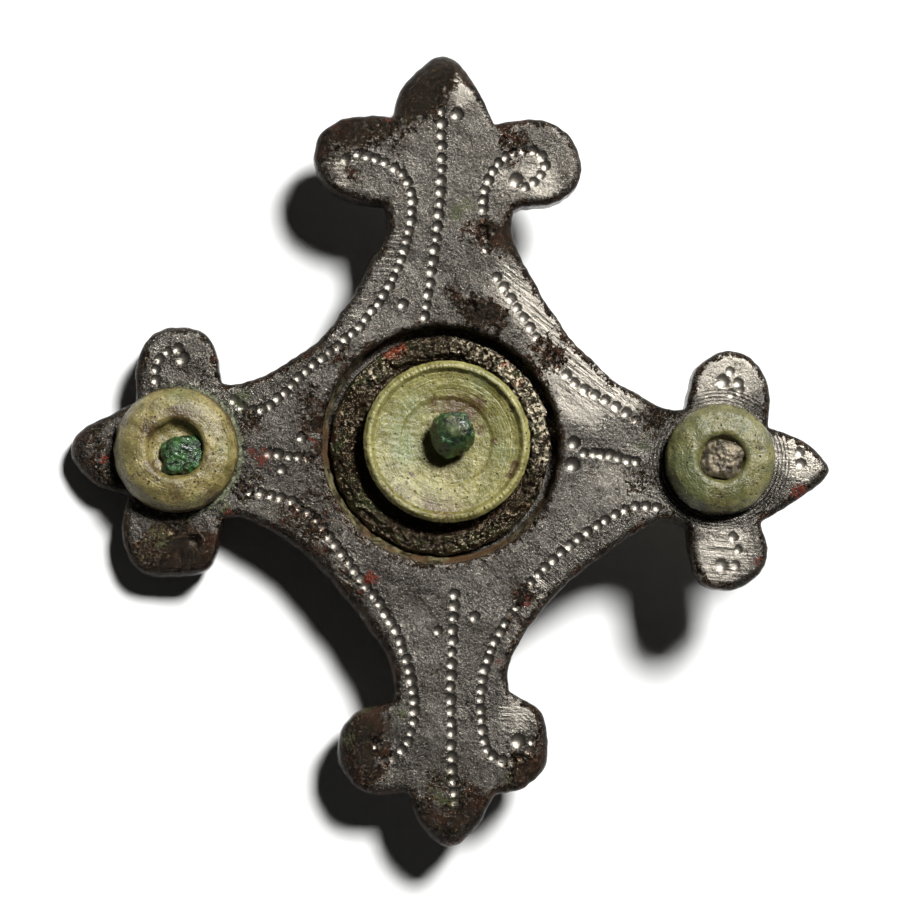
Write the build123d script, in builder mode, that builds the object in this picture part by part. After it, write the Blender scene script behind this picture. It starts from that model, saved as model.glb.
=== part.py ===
"""Plate brooch: a cross of cast, tinned bronze with trefoil ends, punched dots and riveted bone buttons.

It lies as it rests by itself, on the tip of its left arm, its hinge lug and its catch.  The floor is z = 0,
+Z is up, +Y points to the top arm and the origin is under the middle of the brooch.  Sizes are millimetres.
"""
from build123d import *
from math import atan2, cos, pi, sin, sqrt
import os

os.makedirs("parts", exist_ok=True)

# Plate
plate_thickness = 2.4
front_bevel = 0.36
corner_round = 0.5
right_reach = 25.7
top_reach = 25.65
left_reach = 24.3
bottom_reach = 26.4
right_spread = 15.8
top_spread = 17.6
left_spread = 16.5
bottom_spread = 13.9

# How far each arm's axis lies beside the centre of the recess, to the left when seen from the centre
right_shift = -1.6
top_shift = -0.4
left_shift = 0.45
bottom_shift = 0.15

# Recess and the stepped ring in it
recess_radius = 7.85
recess_depth = 1.4
recess_wear = 0.12
ring_gap = 0.6
ring_wall = 1.05
ring_base = 0.5
ring_sunk = 0.35
stack_gap = 0.05

# The ring's wall from its outer foot over the crest to its inner foot: how far in from the outside as a share
# of the wall, and height as a share of the way from the ring's floor to its top
RING_WALL = [(0.0, 0.0), (0.25, 0.58), (0.5, 1.0), (1.0, 0.58), (1.15, 0.0)]
ring_undercut = 0.2

# Central disc
disc_x = 0.5
disc_y = 0.2
disc_radius = 5.35
disc_foot_radius = 2.7
disc_height = 1.45
disc_edge = 0.6
disc_rim = 0.7
disc_dish = 0.65

# The disc's rim from its underside over the lip to the dish: how far in from the outside as a share of the
# rim's width, and depth below the top as a share of the edge
DISC_RIM = [(0.2, 1.2), (0.0, 0.8), (0.0, 0.35), (0.25, 0.2), (0.33, 0.0), (1.0, 0.0)]
dish_shoulder = (1.6, 0.55)

# Buttons
left_button_x = -17.35
left_button_y = -0.4
left_button_radius = 4.1
left_button_height = 2.1
left_well_radius = 1.85
right_button_x = 18.35
right_button_y = -0.95
right_button_radius = 3.6
right_button_height = 1.9
right_well_radius = 1.8
well_floor = 0.8

# A button's foot, widest point and shoulder as shares of its radius and height, and how far its well's edge
# lies below the top
button_foot_share = 0.92
button_bulge_rise = 0.4
button_shoulder_share = 0.9
button_shoulder_rise = 0.78
well_edge_drop = 0.22

# Rivets
shank_radius = 0.7
shank_clearance = 0.08
tail_radius = 1.15
tail_height = 0.45
head_corner = 0.7

# Rivet heads: width, length, height, turn in degrees, and how far the top drifts off the middle
central_head = (2.8, 2.7, 1.75, 8, 0.25)
left_head = (2.8, 2.5, 1.1, 4, 0.1)
right_head = (2.7, 2.4, 1.0, -6, 0.08)

# Sections of every head: share of its height, share of its size and share of its drift
HEAD_SECTIONS = [(0, 1, 0), (0.55, 1, 0.5), (1, 0.55, 1)]

# Punched dots
punch_pitch = 0.8
border_pitch = 0.7
punch_ball = 0.4
punch_depth = 0.12
large_ball = 0.65
large_depth = 0.18

# Hinge lug, catch and pin, on the back
pin_x = 1.7
lug_y = 13.5
lug_thickness = 1.5
lug_radius = 2.0
lug_base = 5.2
pivot_depth = 2.9
catch_y = -12.6
catch_length = 4.4
catch_wall = 0.9
catch_depth = 2.15
wire_radius = 0.6
wire_tip_radius = 0.42
eye_radius = 1.75
pin_clearance = 0.15
pin_point = 3.0
root_bite = 0.3

# One row for each arm: name, heading in degrees from +X, reach, half the spread and shift of its axis
ARMS = {
    "right": (0, right_reach, right_spread / 2, right_shift),
    "top": (90, top_reach, top_spread / 2, top_shift),
    "left": (180, left_reach, left_spread / 2, left_shift),
    "bottom": (270, bottom_reach, bottom_spread / 2, bottom_shift),
}

# Each row is one smooth run of an arm's edge, anticlockwise: points (along, across), along as a share of the
# arm's reach and across as a share of half its spread, measured from the arm's axis.  Every row but the first
# starts in a notch and runs on to the next row's start.  The first row is the flank that leads to the arm.
ARM_EDGES = {
    "right": [
        [(0.506, -0.519), (0.576, -0.424)],
        [(0.634, -0.475), (0.642, -0.759), (0.677, -0.956), (0.751, -1.000),
         (0.821, -0.854), (0.839, -0.671)],
        [(0.821, -0.443), (0.918, -0.247), (0.980, -0.104), (1.000, 0.000), (0.980, 0.104), (0.934, 0.247)],
        [(0.840, 0.348), (0.842, 0.696), (0.802, 0.924), (0.747, 1.000), (0.669, 0.886), (0.644, 0.734)],
        [(0.628, 0.513), (0.588, 0.506), (0.554, 0.546)],
    ],
    "top": [
        [(0.468, -0.580), (0.546, -0.494)],
        [(0.608, -0.506), (0.616, -0.648), (0.624, -0.807), (0.725, -1.000),
         (0.827, -0.818), (0.842, -0.636)],
        [(0.825, -0.347), (0.897, -0.267), (0.955, -0.159), (1.000, 0.023), (0.957, 0.250), (0.904, 0.369)],
        [(0.846, 0.409), (0.850, 0.682), (0.817, 0.909), (0.745, 1.000), (0.656, 0.870), (0.632, 0.716)],
        [(0.620, 0.466), (0.581, 0.438), (0.507, 0.511)],
    ],
    "left": [
        [(0.519, -0.564), (0.560, -0.533)],
        [(0.595, -0.539), (0.605, -0.770), (0.630, -0.909), (0.716, -1.000),
         (0.790, -0.903), (0.823, -0.661)],
        [(0.823, -0.388), (0.914, -0.273), (0.988, -0.109), (1.000, 0.000), (0.991, 0.098), (0.930, 0.261)],
        [(0.844, 0.345), (0.856, 0.721), (0.819, 0.939), (0.724, 1.000), (0.630, 0.927), (0.597, 0.745)],
        [(0.591, 0.527), (0.547, 0.515), (0.489, 0.578)],
    ],
    "bottom": [
        [(0.496, -0.612), (0.568, -0.475)],
        [(0.634, -0.468), (0.655, -0.712), (0.693, -0.928), (0.754, -1.000),
         (0.847, -0.833), (0.869, -0.626)],
        [(0.862, -0.331), (0.936, -0.223), (0.984, -0.080), (1.000, 0.062), (0.982, 0.198), (0.939, 0.353)],
        [(0.869, 0.482), (0.854, 0.755), (0.809, 0.939), (0.739, 1.000), (0.659, 0.899), (0.638, 0.784)],
        [(0.614, 0.626), (0.568, 0.612), (0.504, 0.698)],
    ],
}

# The hollow edge after each arm passes through this point: x and y as shares of the reaches on that side
HOLLOWS = {
    "right": (0.358, 0.248),
    "top": (-0.325, 0.275),
    "left": (-0.317, -0.318),
    "bottom": (0.315, -0.354),
}

# Rows of punched dots: name, pitch, then points (x, y) of its curve as shares of the reaches on that side
PUNCH_ROWS = [
    ("top middle", punch_pitch, [(0.00, 0.86), (0.00, 0.69), (-0.014, 0.52), (-0.045, 0.33)]),
    ("top left start", punch_pitch, [(-0.26, 0.735), (-0.225, 0.75)]),
    ("top left border", border_pitch, [
        (-0.155, 0.73), (-0.10, 0.69), (-0.078, 0.60), (-0.095, 0.52), (-0.152, 0.39),
        (-0.26, 0.27), (-0.395, 0.162), (-0.51, 0.088), (-0.56, 0.11)]),
    ("top right curl", punch_pitch, [
        (0.24, 0.68), (0.268, 0.73), (0.226, 0.76), (0.179, 0.752), (0.132, 0.705),
        (0.109, 0.626), (0.111, 0.573), (0.116, 0.507)]),
    ("top right border", punch_pitch, [
        (0.144, 0.43), (0.195, 0.353), (0.265, 0.253), (0.362, 0.148), (0.447, 0.103), (0.50, 0.066)]),
    ("right middle", border_pitch, [(0.368, -0.018), (0.43, -0.025), (0.50, -0.041)]),
    ("bottom right border", punch_pitch, [
        (0.553, -0.155), (0.494, -0.152), (0.424, -0.186), (0.331, -0.247), (0.23, -0.343)]),
    ("bottom right curl", border_pitch, [
        (0.193, -0.402), (0.148, -0.47), (0.117, -0.542), (0.101, -0.617), (0.105, -0.70),
        (0.128, -0.77), (0.171, -0.784), (0.222, -0.765), (0.232, -0.735)]),
    ("bottom middle", punch_pitch, [(0.034, -0.371), (0.028, -0.542), (0.026, -0.682), (0.036, -0.89)]),
    ("bottom left border", border_pitch, [
        (-0.514, -0.117), (-0.383, -0.152), (-0.288, -0.246), (-0.188, -0.366),
        (-0.107, -0.496), (-0.074, -0.617), (-0.082, -0.716), (-0.111, -0.761), (-0.152, -0.788)]),
    ("left middle", border_pitch, [(-0.465, -0.02), (-0.358, -0.032)]),
    ("left upper lobe", border_pitch, [(-0.77, 0.164), (-0.768, 0.207), (-0.74, 0.238), (-0.71, 0.246)]),
]

# Single dots: x and y as shares of the reaches on that side
SINGLE_PUNCHES = [
    (-0.103, 0.361), (0.08, 0.359), (-0.43, -0.062), (-0.379, 0.018),
    (-0.008, -0.462), (0.086, -0.428), (0.755, 0.186), (0.763, 0.148), (0.755, 0.112),
    (0.747, -0.231), (0.763, -0.262), (0.755, -0.298), (0.922, -0.015), (0.922, -0.045),
]
LARGE_PUNCHES = [
    (0.042, 0.853), (0.195, 0.682), (-0.70, 0.222), (0.34, 0.005), (0.336, -0.05),
    (0.198, -0.735), (-0.663, -0.239), (0.728, 0.155), (0.716, -0.299),
]


def arm_point(arm, along, across):
    """A point of the plate from its shares of an arm's reach and half spread."""
    heading, reach, half_spread, shift = ARMS[arm]
    return Vector(along * reach, shift + across * half_spread).rotate(Axis.Z, heading)


def plate_point(x_share, y_share):
    """A point of the plate from its shares of the reaches on its side of the centre."""
    x_reach = right_reach if x_share > 0 else left_reach
    y_reach = top_reach if y_share > 0 else bottom_reach
    return Vector(x_share * x_reach, y_share * y_reach)


def plate_edge():
    """The plate's closed edge: runs from notch to notch, each arm's last one through the hollow beside it."""
    runs = {arm: [[arm_point(arm, *spot) for spot in run] for run in ARM_EDGES[arm]] for arm in ARMS}
    arms = list(ARMS)
    with BuildLine() as edge:
        for arm, next_arm in zip(arms, arms[1:] + arms[:1]):
            for run, next_run in zip(runs[arm][1:], runs[arm][2:]):
                Spline(*run, next_run[0])
            next_flank, next_lobe = runs[next_arm][:2]
            Spline(*runs[arm][-1], plate_point(*HOLLOWS[arm]), *next_flank, next_lobe[0])
    return edge.line.edges()


def row_spots(points, pitch):
    """Evenly spaced spots along the curve of a row of dots, about one pitch apart."""
    path = Spline(*[plate_point(*point) for point in points])
    steps = max(1, round(path.length / pitch))
    return [path.position_at(step / steps) for step in range(steps + 1)]


# The plane on which the brooch lies, found in the plate's own frame from its three feet: the tip of the left
# arm, the lug's end and the outer end of the catch
trough_radius = wire_tip_radius + pin_clearance
foot_radius = trough_radius + catch_wall
lean = atan2(catch_depth + foot_radius, left_reach + pin_x)
left_foot = arm_point("left", 1, 0)
lug_foot = Vector(pin_x - lug_thickness / 2, lug_y, -(pivot_depth + lug_radius))
catch_foot = Vector(
    pin_x - foot_radius * sin(lean), catch_y - catch_length, -(catch_depth + foot_radius * cos(lean))
)
floor_up = (catch_foot - left_foot).cross(lug_foot - left_foot).normalized()
floor = Plane(origin=left_foot, x_dir=Vector(0, 1, 0).cross(floor_up), z_dir=floor_up)

# The plate's back face as it lies, with the middle of the brooch over the origin
lying = Plane(floor.location.inverse())
with BuildPart(lying) as blank:
    with BuildSketch(lying):
        make_face(plate_edge())
    extrude(amount=plate_thickness)
middle = blank.part.bounding_box().center()
back = Plane(lying.origin - Vector(middle.X, middle.Y, 0), x_dir=lying.x_dir, z_dir=lying.z_dir)
front = back.offset(plate_thickness)
outward = Axis(back.origin, back.z_dir)


def level(height, x=0.0, y=0.0, turn=0.0):
    """The plane parallel to the plate's back at a height above it, centred on a point of the plate."""
    return Plane(
        back.from_local_coords(Vector(x, y, height)),
        x_dir=back.x_dir.rotate(outward, turn),
        z_dir=back.z_dir,
    )


def section(x, y):
    """The upright plane through a point of the plate: sketches on it read (radius, height above the back)."""
    return Plane(back.from_local_coords(Vector(x, y, 0)), x_dir=back.x_dir, z_dir=-back.y_dir)


def turned_axis(x, y):
    """The axis through a point of the plate, square to it."""
    return Axis(back.from_local_coords(Vector(x, y, 0)), back.z_dir)


# Heights above the plate's back
recess_floor = plate_thickness - recess_depth
ring_foot = recess_floor + stack_gap
ring_floor = ring_foot + ring_base
ring_top = plate_thickness - ring_sunk
disc_foot = ring_floor + stack_gap
disc_top = disc_foot + disc_height
button_foot = plate_thickness + stack_gap


def punch_centre(spot, ball, depth):
    """Where the centre of a punch's round end comes when it has sunk into the face to a depth."""
    return level(plate_thickness - depth + ball, spot.X, spot.Y)


# Plate: the cast cross with its recess, rivet holes, punched dots, hinge lug and catch
rivet_spots = [(disc_x, disc_y), (left_button_x, left_button_y), (right_button_x, right_button_y)]
hole_radius = shank_radius + shank_clearance
eye_reach = eye_radius - sqrt((eye_radius - wire_radius) ** 2 - (lug_thickness / 2) ** 2)
lug_side = Plane(
    back.from_local_coords(Vector(pin_x - lug_thickness / 2, lug_y, 0)), x_dir=back.y_dir, z_dir=back.x_dir
)
catch_end = Plane(
    back.from_local_coords(Vector(pin_x, catch_y, 0)), x_dir=back.x_dir, z_dir=-back.y_dir
)

with BuildPart() as plate:
    with BuildSketch(back) as cross:
        make_face(plate_edge())
        fillet(cross.vertices(), radius=corner_round)
    extrude(amount=plate_thickness)
    chamfer(plate.faces().sort_by(outward)[-1].edges(), length=front_bevel)

    with BuildSketch(front):
        Circle(recess_radius)
    extrude(amount=-recess_depth, mode=Mode.SUBTRACT)
    with BuildSketch(section(0, 0)):
        with BuildLine():
            Polyline(
                (recess_radius - recess_wear, plate_thickness + recess_wear),
                (recess_radius + recess_wear * 2, plate_thickness + recess_wear),
                (recess_radius - recess_wear, plate_thickness - recess_wear * 2),
                close=True,
            )
        make_face()
    revolve(axis=turned_axis(0, 0), mode=Mode.SUBTRACT)

    with BuildSketch(front):
        with Locations(*rivet_spots):
            Circle(hole_radius)
    extrude(amount=-plate_thickness, mode=Mode.SUBTRACT)

    # The lug narrows in straight flanks from its base to its round end, and the pin's eye runs through it
    flank = sqrt(pivot_depth**2 + (lug_base / 2) ** 2 - lug_radius**2)
    slope = atan2(lug_base / 2, pivot_depth) + atan2(lug_radius, flank) - pi / 2
    touch_y = lug_radius * cos(slope)
    touch_z = -pivot_depth - lug_radius * sin(slope)
    with BuildSketch(lug_side):
        with BuildLine():
            Polyline(
                (-touch_y, touch_z), (-lug_base / 2, root_bite), (lug_base / 2, root_bite), (touch_y, touch_z)
            )
            ThreePointArc((touch_y, touch_z), (0, -pivot_depth - lug_radius), (-touch_y, touch_z))
        make_face()
        with Locations((0, -pivot_depth)):
            Circle(eye_reach + pin_clearance, mode=Mode.SUBTRACT)
    extrude(amount=lug_thickness)

    # The catch is a fin beside the pin whose lower edge is folded under the pin's tip into a trough
    with BuildSketch(catch_end):
        with Locations((0, -catch_depth)):
            Circle(foot_radius)
            Rectangle(foot_radius * 2, foot_radius, align=(Align.CENTER, Align.MIN), mode=Mode.SUBTRACT)
            with Locations((trough_radius + catch_wall / 2, 0)):
                Rectangle(catch_wall, catch_depth + root_bite, align=(Align.CENTER, Align.MIN))
            with Locations((-trough_radius - catch_wall / 2, 0)):
                Circle(catch_wall / 2)
            Circle(trough_radius, mode=Mode.SUBTRACT)
    extrude(amount=catch_length)

    # Punched dots, each the dent of a round punch
    row_dots = [spot for _, pitch, points in PUNCH_ROWS for spot in row_spots(points, pitch)]
    single_dots = [plate_point(*shares) for shares in SINGLE_PUNCHES]
    large_dots = [plate_point(*shares) for shares in LARGE_PUNCHES]
    with Locations(*[punch_centre(spot, punch_ball, punch_depth) for spot in row_dots + single_dots]):
        Sphere(punch_ball, mode=Mode.SUBTRACT)
    with Locations(*[punch_centre(spot, large_ball, large_depth) for spot in large_dots]):
        Sphere(large_ball, mode=Mode.SUBTRACT)

plate.part.label = "plate"
export_step(plate.part, "parts/plate.step")

# Seat ring: a thin round base with a raised wall, worn into a step, that carries the central disc
ring_radius = recess_radius - ring_gap
ring_wall_line = [
    (ring_radius - ring_wall * inward, ring_floor + (ring_top - ring_floor) * rise)
    for inward, rise in RING_WALL
]
with BuildPart() as seat_ring:
    with BuildSketch(section(0, 0)):
        with BuildLine():
            Polyline(
                (0, ring_foot),
                (ring_radius - ring_undercut, ring_foot),
                *ring_wall_line,
                (0, ring_floor),
                close=True,
            )
        make_face()
    revolve(axis=turned_axis(0, 0))
    with BuildSketch(level(ring_floor, disc_x, disc_y)):
        Circle(hole_radius)
    extrude(amount=-ring_base, mode=Mode.SUBTRACT)

seat_ring.part.label = "seat_ring"
export_step(seat_ring.part, "parts/seat_ring.step")

# Central disc: a turned saucer on a narrow foot, with a thin lip, a raised rim, a groove and a dished face
dish_floor = disc_top - disc_dish
rim_line = [(disc_radius - disc_rim * inward, disc_top - disc_edge * drop) for inward, drop in DISC_RIM]
shoulder_in, shoulder_drop = dish_shoulder
with BuildPart() as central_disc:
    with BuildSketch(section(disc_x, disc_y)):
        with BuildLine():
            Polyline((hole_radius, disc_foot), (disc_foot_radius, disc_foot), *rim_line)
            Spline(
                rim_line[-1],
                (disc_radius - disc_rim * shoulder_in, disc_top - disc_dish * shoulder_drop),
                (disc_foot_radius, dish_floor),
                (hole_radius, dish_floor),
                tangents=((-1, -0.2), (-1, 0)),
            )
            Line((hole_radius, dish_floor), (hole_radius, disc_foot))
        make_face()
    revolve(axis=turned_axis(disc_x, disc_y))

central_disc.part.label = "central_disc"
export_step(central_disc.part, "parts/central_disc.step")


def button(x, y, radius, height, well_radius):
    """A domed bone button with a round well in its top for the rivet's head."""
    foot = (radius * button_foot_share, button_foot)
    bulge = (radius, button_foot + height * button_bulge_rise)
    shoulder = (radius * button_shoulder_share, button_foot + height * button_shoulder_rise)
    brow = ((radius + well_radius) / 2, button_foot + height)
    well_edge = (well_radius, button_foot + height * (1 - well_edge_drop))
    with BuildPart() as turned:
        with BuildSketch(section(x, y)):
            with BuildLine():
                Line((hole_radius, button_foot), foot)
                ThreePointArc(foot, bulge, shoulder)
                ThreePointArc(shoulder, brow, well_edge)
                Polyline(
                    well_edge,
                    (well_radius - stack_gap, button_foot + well_floor),
                    (hole_radius, button_foot + well_floor),
                    (hole_radius, button_foot),
                )
            make_face()
        revolve(axis=turned_axis(x, y))
    return turned


def rivet(x, y, seat, width, length, height, turn, drift):
    """A rivet: a hammered head on its seat, a shank through the plate and a flat tail behind it."""
    base = level(seat, x, y, turn)
    with BuildPart() as hammered:
        for rise, size, aside in HEAD_SECTIONS:
            with BuildSketch(base.offset(height * rise)):
                with Locations((drift * aside, drift * aside)):
                    RectangleRounded(width * size, length * size, head_corner * size)
        loft(ruled=True)
        with BuildSketch(level(-stack_gap, x, y)):
            Circle(shank_radius)
        extrude(amount=seat + stack_gap * 2)
        with BuildSketch(level(-stack_gap, x, y)):
            Circle(tail_radius)
        extrude(amount=-tail_height)
    return hammered


# Buttons
buttons = {
    "left_button": (left_button_x, left_button_y, left_button_radius, left_button_height, left_well_radius),
    "right_button": (
        right_button_x, right_button_y, right_button_radius, right_button_height, right_well_radius
    ),
}
for name, sizes in buttons.items():
    turned_button = button(*sizes)
    turned_button.part.label = name
    export_step(turned_button.part, f"parts/{name}.step")

# Rivets: each head sits on the face of what it holds
rivets = {
    "central_rivet": (disc_x, disc_y, dish_floor + stack_gap, *central_head),
    "left_rivet": (left_button_x, left_button_y, button_foot + well_floor + stack_gap, *left_head),
    "right_rivet": (right_button_x, right_button_y, button_foot + well_floor + stack_gap, *right_head),
}
for name, sizes in rivets.items():
    hammered_rivet = rivet(*sizes)
    hammered_rivet.part.label = name
    export_step(hammered_rivet.part, f"parts/{name}.step")

# Pin: a ring of wire through the lug's hole that runs on as a straight tapered pin into the catch
hinge = back.from_local_coords(Vector(pin_x, lug_y, -pivot_depth))
catch_middle = back.from_local_coords(Vector(pin_x, catch_y - catch_length / 2, -catch_depth))
pin_way = (catch_middle - hinge).normalized()
eye_plane = Plane(hinge + pin_way * eye_radius, x_dir=pin_way, z_dir=back.x_dir.cross(pin_way))
pin_length = (catch_middle - eye_plane.origin).length + catch_length / 2 - trough_radius
with BuildPart() as pin:
    with BuildSketch(Plane(eye_plane.origin, x_dir=eye_plane.x_dir, z_dir=eye_plane.y_dir)):
        with Locations((eye_radius, 0)):
            Circle(wire_radius)
    revolve(axis=Axis(eye_plane.origin, eye_plane.z_dir))
    with BuildSketch(eye_plane):
        with BuildLine():
            Polyline(
                (eye_radius, 0),
                (eye_radius, wire_radius * 0.95),
                (pin_length - pin_point, wire_tip_radius),
                (pin_length, wire_tip_radius / 6),
                (pin_length, 0),
                close=True,
            )
        make_face()
    revolve(axis=Axis(eye_plane.origin, eye_plane.x_dir))

pin.part.label = "pin"
export_step(pin.part, "parts/pin.step")
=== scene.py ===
"""Looks of a plate brooch: a cross of worn, tinned bronze with a corroded ring, turned bone and green rivets.

Shapes are worked out in the plate's own frame, in millimetres: x points to the right arm, y to the top arm
and z out of the face, and the origin is on the plate's back under the middle of the recess.
"""
from math import cos, pi, radians, sin, sqrt

import bmesh
import bpy
import numpy as np
from mathutils import Matrix, Vector
from mathutils.geometry import delaunay_2d_cdt


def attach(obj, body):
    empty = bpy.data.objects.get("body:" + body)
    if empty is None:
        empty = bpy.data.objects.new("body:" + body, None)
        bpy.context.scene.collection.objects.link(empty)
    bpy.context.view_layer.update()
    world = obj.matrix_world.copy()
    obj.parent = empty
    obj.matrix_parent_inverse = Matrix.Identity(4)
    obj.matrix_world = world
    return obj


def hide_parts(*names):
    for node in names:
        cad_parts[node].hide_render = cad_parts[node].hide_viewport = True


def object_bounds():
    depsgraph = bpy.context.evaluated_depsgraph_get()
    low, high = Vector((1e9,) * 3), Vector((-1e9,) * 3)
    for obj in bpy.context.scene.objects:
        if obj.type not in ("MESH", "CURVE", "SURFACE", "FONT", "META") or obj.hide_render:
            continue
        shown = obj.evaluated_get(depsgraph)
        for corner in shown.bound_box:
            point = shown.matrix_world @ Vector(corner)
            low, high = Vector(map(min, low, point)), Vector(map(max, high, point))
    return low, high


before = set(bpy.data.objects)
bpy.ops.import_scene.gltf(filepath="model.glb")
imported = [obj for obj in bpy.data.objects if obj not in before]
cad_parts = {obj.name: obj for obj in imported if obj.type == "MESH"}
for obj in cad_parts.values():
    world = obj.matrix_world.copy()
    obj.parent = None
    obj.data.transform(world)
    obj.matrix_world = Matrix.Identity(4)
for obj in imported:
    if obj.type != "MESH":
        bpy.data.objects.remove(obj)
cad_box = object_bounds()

# Heights above the plate's back, and radii, as in the part's source
face = 2.4
recess_radius = 7.85
recess_depth = 1.4
ring_foot = 1.05
ring_floor = 1.55
ring_top = 2.05
ring_radius = 7.25
disc_foot = 1.6
disc_top = 3.05
disc_radius = 5.35
disc_middle = (0.5, 0.2)
left_middle = (-17.35, -0.4)
right_middle = (18.35, -0.95)
button_foot = 2.45
pin_x = 1.7
lug_y = 13.5
pivot_height = -2.9
catch_y = -12.6
catch_length = 4.4
trough_height = -2.15

# The recess's lip, where the face ends
lip_radius = recess_radius + 0.12

# Dents of the punch: mean radius and its spread, slip in place, least and most depth as shares of the radius
small_dent = (0.36, 0.02)
large_dent = (0.5, 0.03)
dent_slip = 0.03
dent_depth = (0.24, 0.35)

# Points closer than this are welded into one
weld_gap = 0.0005

# The plate's rim from its back to its face: how far in from the edge, and height
RIM = [(0.34, 0.0), (0.16, 0.03), (0.05, 0.12), (0.0, 0.3), (0.0, 0.7), (0.01, 1.1)]

# How far in from the edge the points lie where the face rounds off to it
FACE_INSETS = (0.03, 0.05, 0.09, 0.15, 0.23, 0.32)

# Rings of points round each dent: radius as a share of the dent's, and how many points
DENT_RINGS = [(0.0, 1), (0.3, 6), (0.6, 10), (0.82, 14), (0.96, 16), (1.06, 16), (1.26, 16)]

# The recess from its lip to its middle: radius and depth below the face
RECESS = [
    (lip_radius, 0.0), (recess_radius + 0.03, 0.06), (recess_radius - 0.02, 0.2), (recess_radius - 0.04, 0.6),
    (recess_radius - 0.05, 1.0), (recess_radius - 0.08, 1.25), (recess_radius - 0.2, recess_depth),
    (recess_radius - 0.6, recess_depth), (6.0, recess_depth), (3.0, recess_depth), (0.0, recess_depth),
]

# The ring from the middle of its underside round the edge to the middle of its floor: radius and height
RING = [
    (0, ring_foot - 0.02), (ring_radius - 0.15, ring_foot - 0.02), (ring_radius, ring_floor - 0.12),
    (7.12, 1.76), (6.75, 1.96), (6.4, ring_top + 0.05), (6.1, ring_top), (5.85, 1.66),
    (5.6, ring_floor - 0.15), (0, ring_floor - 0.12),
]

# The disc from the middle of its foot over the rim to the middle of its dish: radius and height
DISC = [
    (0, disc_foot), (2.7, disc_foot), (5.15, 2.33), (disc_radius, 2.57), (disc_radius, 2.82), (5.22, 2.98),
    (5.1, disc_top + 0.08), (4.88, disc_top + 0.08), (4.66, 2.82), (4.3, 2.7), (3.6, 2.55), (3.02, 2.44),
    (2.8, 2.29), (0, 2.16),
]

# Fine grooves of the disc's dish: radius, half width and depth
DISC_GROOVES = [
    (4.62, 0.05, 0.02), (4.42, 0.04, 0.03), (4.2, 0.05, 0.02), (3.97, 0.05, 0.03), (3.7, 0.04, 0.02),
    (3.48, 0.04, 0.03), (3.2, 0.05, 0.02), (2.92, 0.05, 0.03), (2.5, 0.04, 0.015), (2.1, 0.05, 0.02),
]

# One row for each arm: name, heading in degrees, reach, half the spread and shift of its axis
ARMS = {
    "right": (0, 25.7, 7.9, -1.6),
    "top": (90, 25.65, 8.8, -0.4),
    "left": (180, 24.3, 8.25, 0.45),
    "bottom": (270, 26.4, 6.95, 0.15),
}

# Smooth runs of each arm's edge from notch to notch, as in the part's source: points (along, across), along as
# a share of the arm's reach and across as a share of half its spread
ARM_EDGES = {
    "right": [
        [(0.506, -0.519), (0.576, -0.424)],
        [(0.634, -0.475), (0.642, -0.759), (0.677, -0.956), (0.751, -1.000), (0.821, -0.854), (0.839, -0.671)],
        [(0.821, -0.443), (0.918, -0.247), (0.980, -0.104), (1.000, 0.000), (0.980, 0.104), (0.934, 0.247)],
        [(0.840, 0.348), (0.842, 0.696), (0.802, 0.924), (0.747, 1.000), (0.669, 0.886), (0.644, 0.734)],
        [(0.628, 0.513), (0.588, 0.506), (0.554, 0.546)],
    ],
    "top": [
        [(0.468, -0.580), (0.546, -0.494)],
        [(0.608, -0.506), (0.616, -0.648), (0.624, -0.807), (0.725, -1.000), (0.827, -0.818), (0.842, -0.636)],
        [(0.825, -0.347), (0.897, -0.267), (0.955, -0.159), (1.000, 0.023), (0.957, 0.250), (0.904, 0.369)],
        [(0.846, 0.409), (0.850, 0.682), (0.817, 0.909), (0.745, 1.000), (0.656, 0.870), (0.632, 0.716)],
        [(0.620, 0.466), (0.581, 0.438), (0.507, 0.511)],
    ],
    "left": [
        [(0.519, -0.564), (0.560, -0.533)],
        [(0.595, -0.539), (0.605, -0.770), (0.630, -0.909), (0.716, -1.000), (0.790, -0.903), (0.823, -0.661)],
        [(0.823, -0.388), (0.914, -0.273), (0.988, -0.109), (1.000, 0.000), (0.991, 0.098), (0.930, 0.261)],
        [(0.844, 0.345), (0.856, 0.721), (0.819, 0.939), (0.724, 1.000), (0.630, 0.927), (0.597, 0.745)],
        [(0.591, 0.527), (0.547, 0.515), (0.489, 0.578)],
    ],
    "bottom": [
        [(0.496, -0.612), (0.568, -0.475)],
        [(0.634, -0.468), (0.655, -0.712), (0.693, -0.928), (0.754, -1.000), (0.847, -0.833), (0.869, -0.626)],
        [(0.862, -0.331), (0.936, -0.223), (0.984, -0.080), (1.000, 0.062), (0.982, 0.198), (0.939, 0.353)],
        [(0.869, 0.482), (0.854, 0.755), (0.809, 0.939), (0.739, 1.000), (0.659, 0.899), (0.638, 0.784)],
        [(0.614, 0.626), (0.568, 0.612), (0.504, 0.698)],
    ],
}

# The hollow edge after each arm passes through this point: x and y as shares of the reaches on that side
HOLLOWS = {"right": (0.358, 0.248), "top": (-0.325, 0.275), "left": (-0.317, -0.318), "bottom": (0.315, -0.354)}

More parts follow.
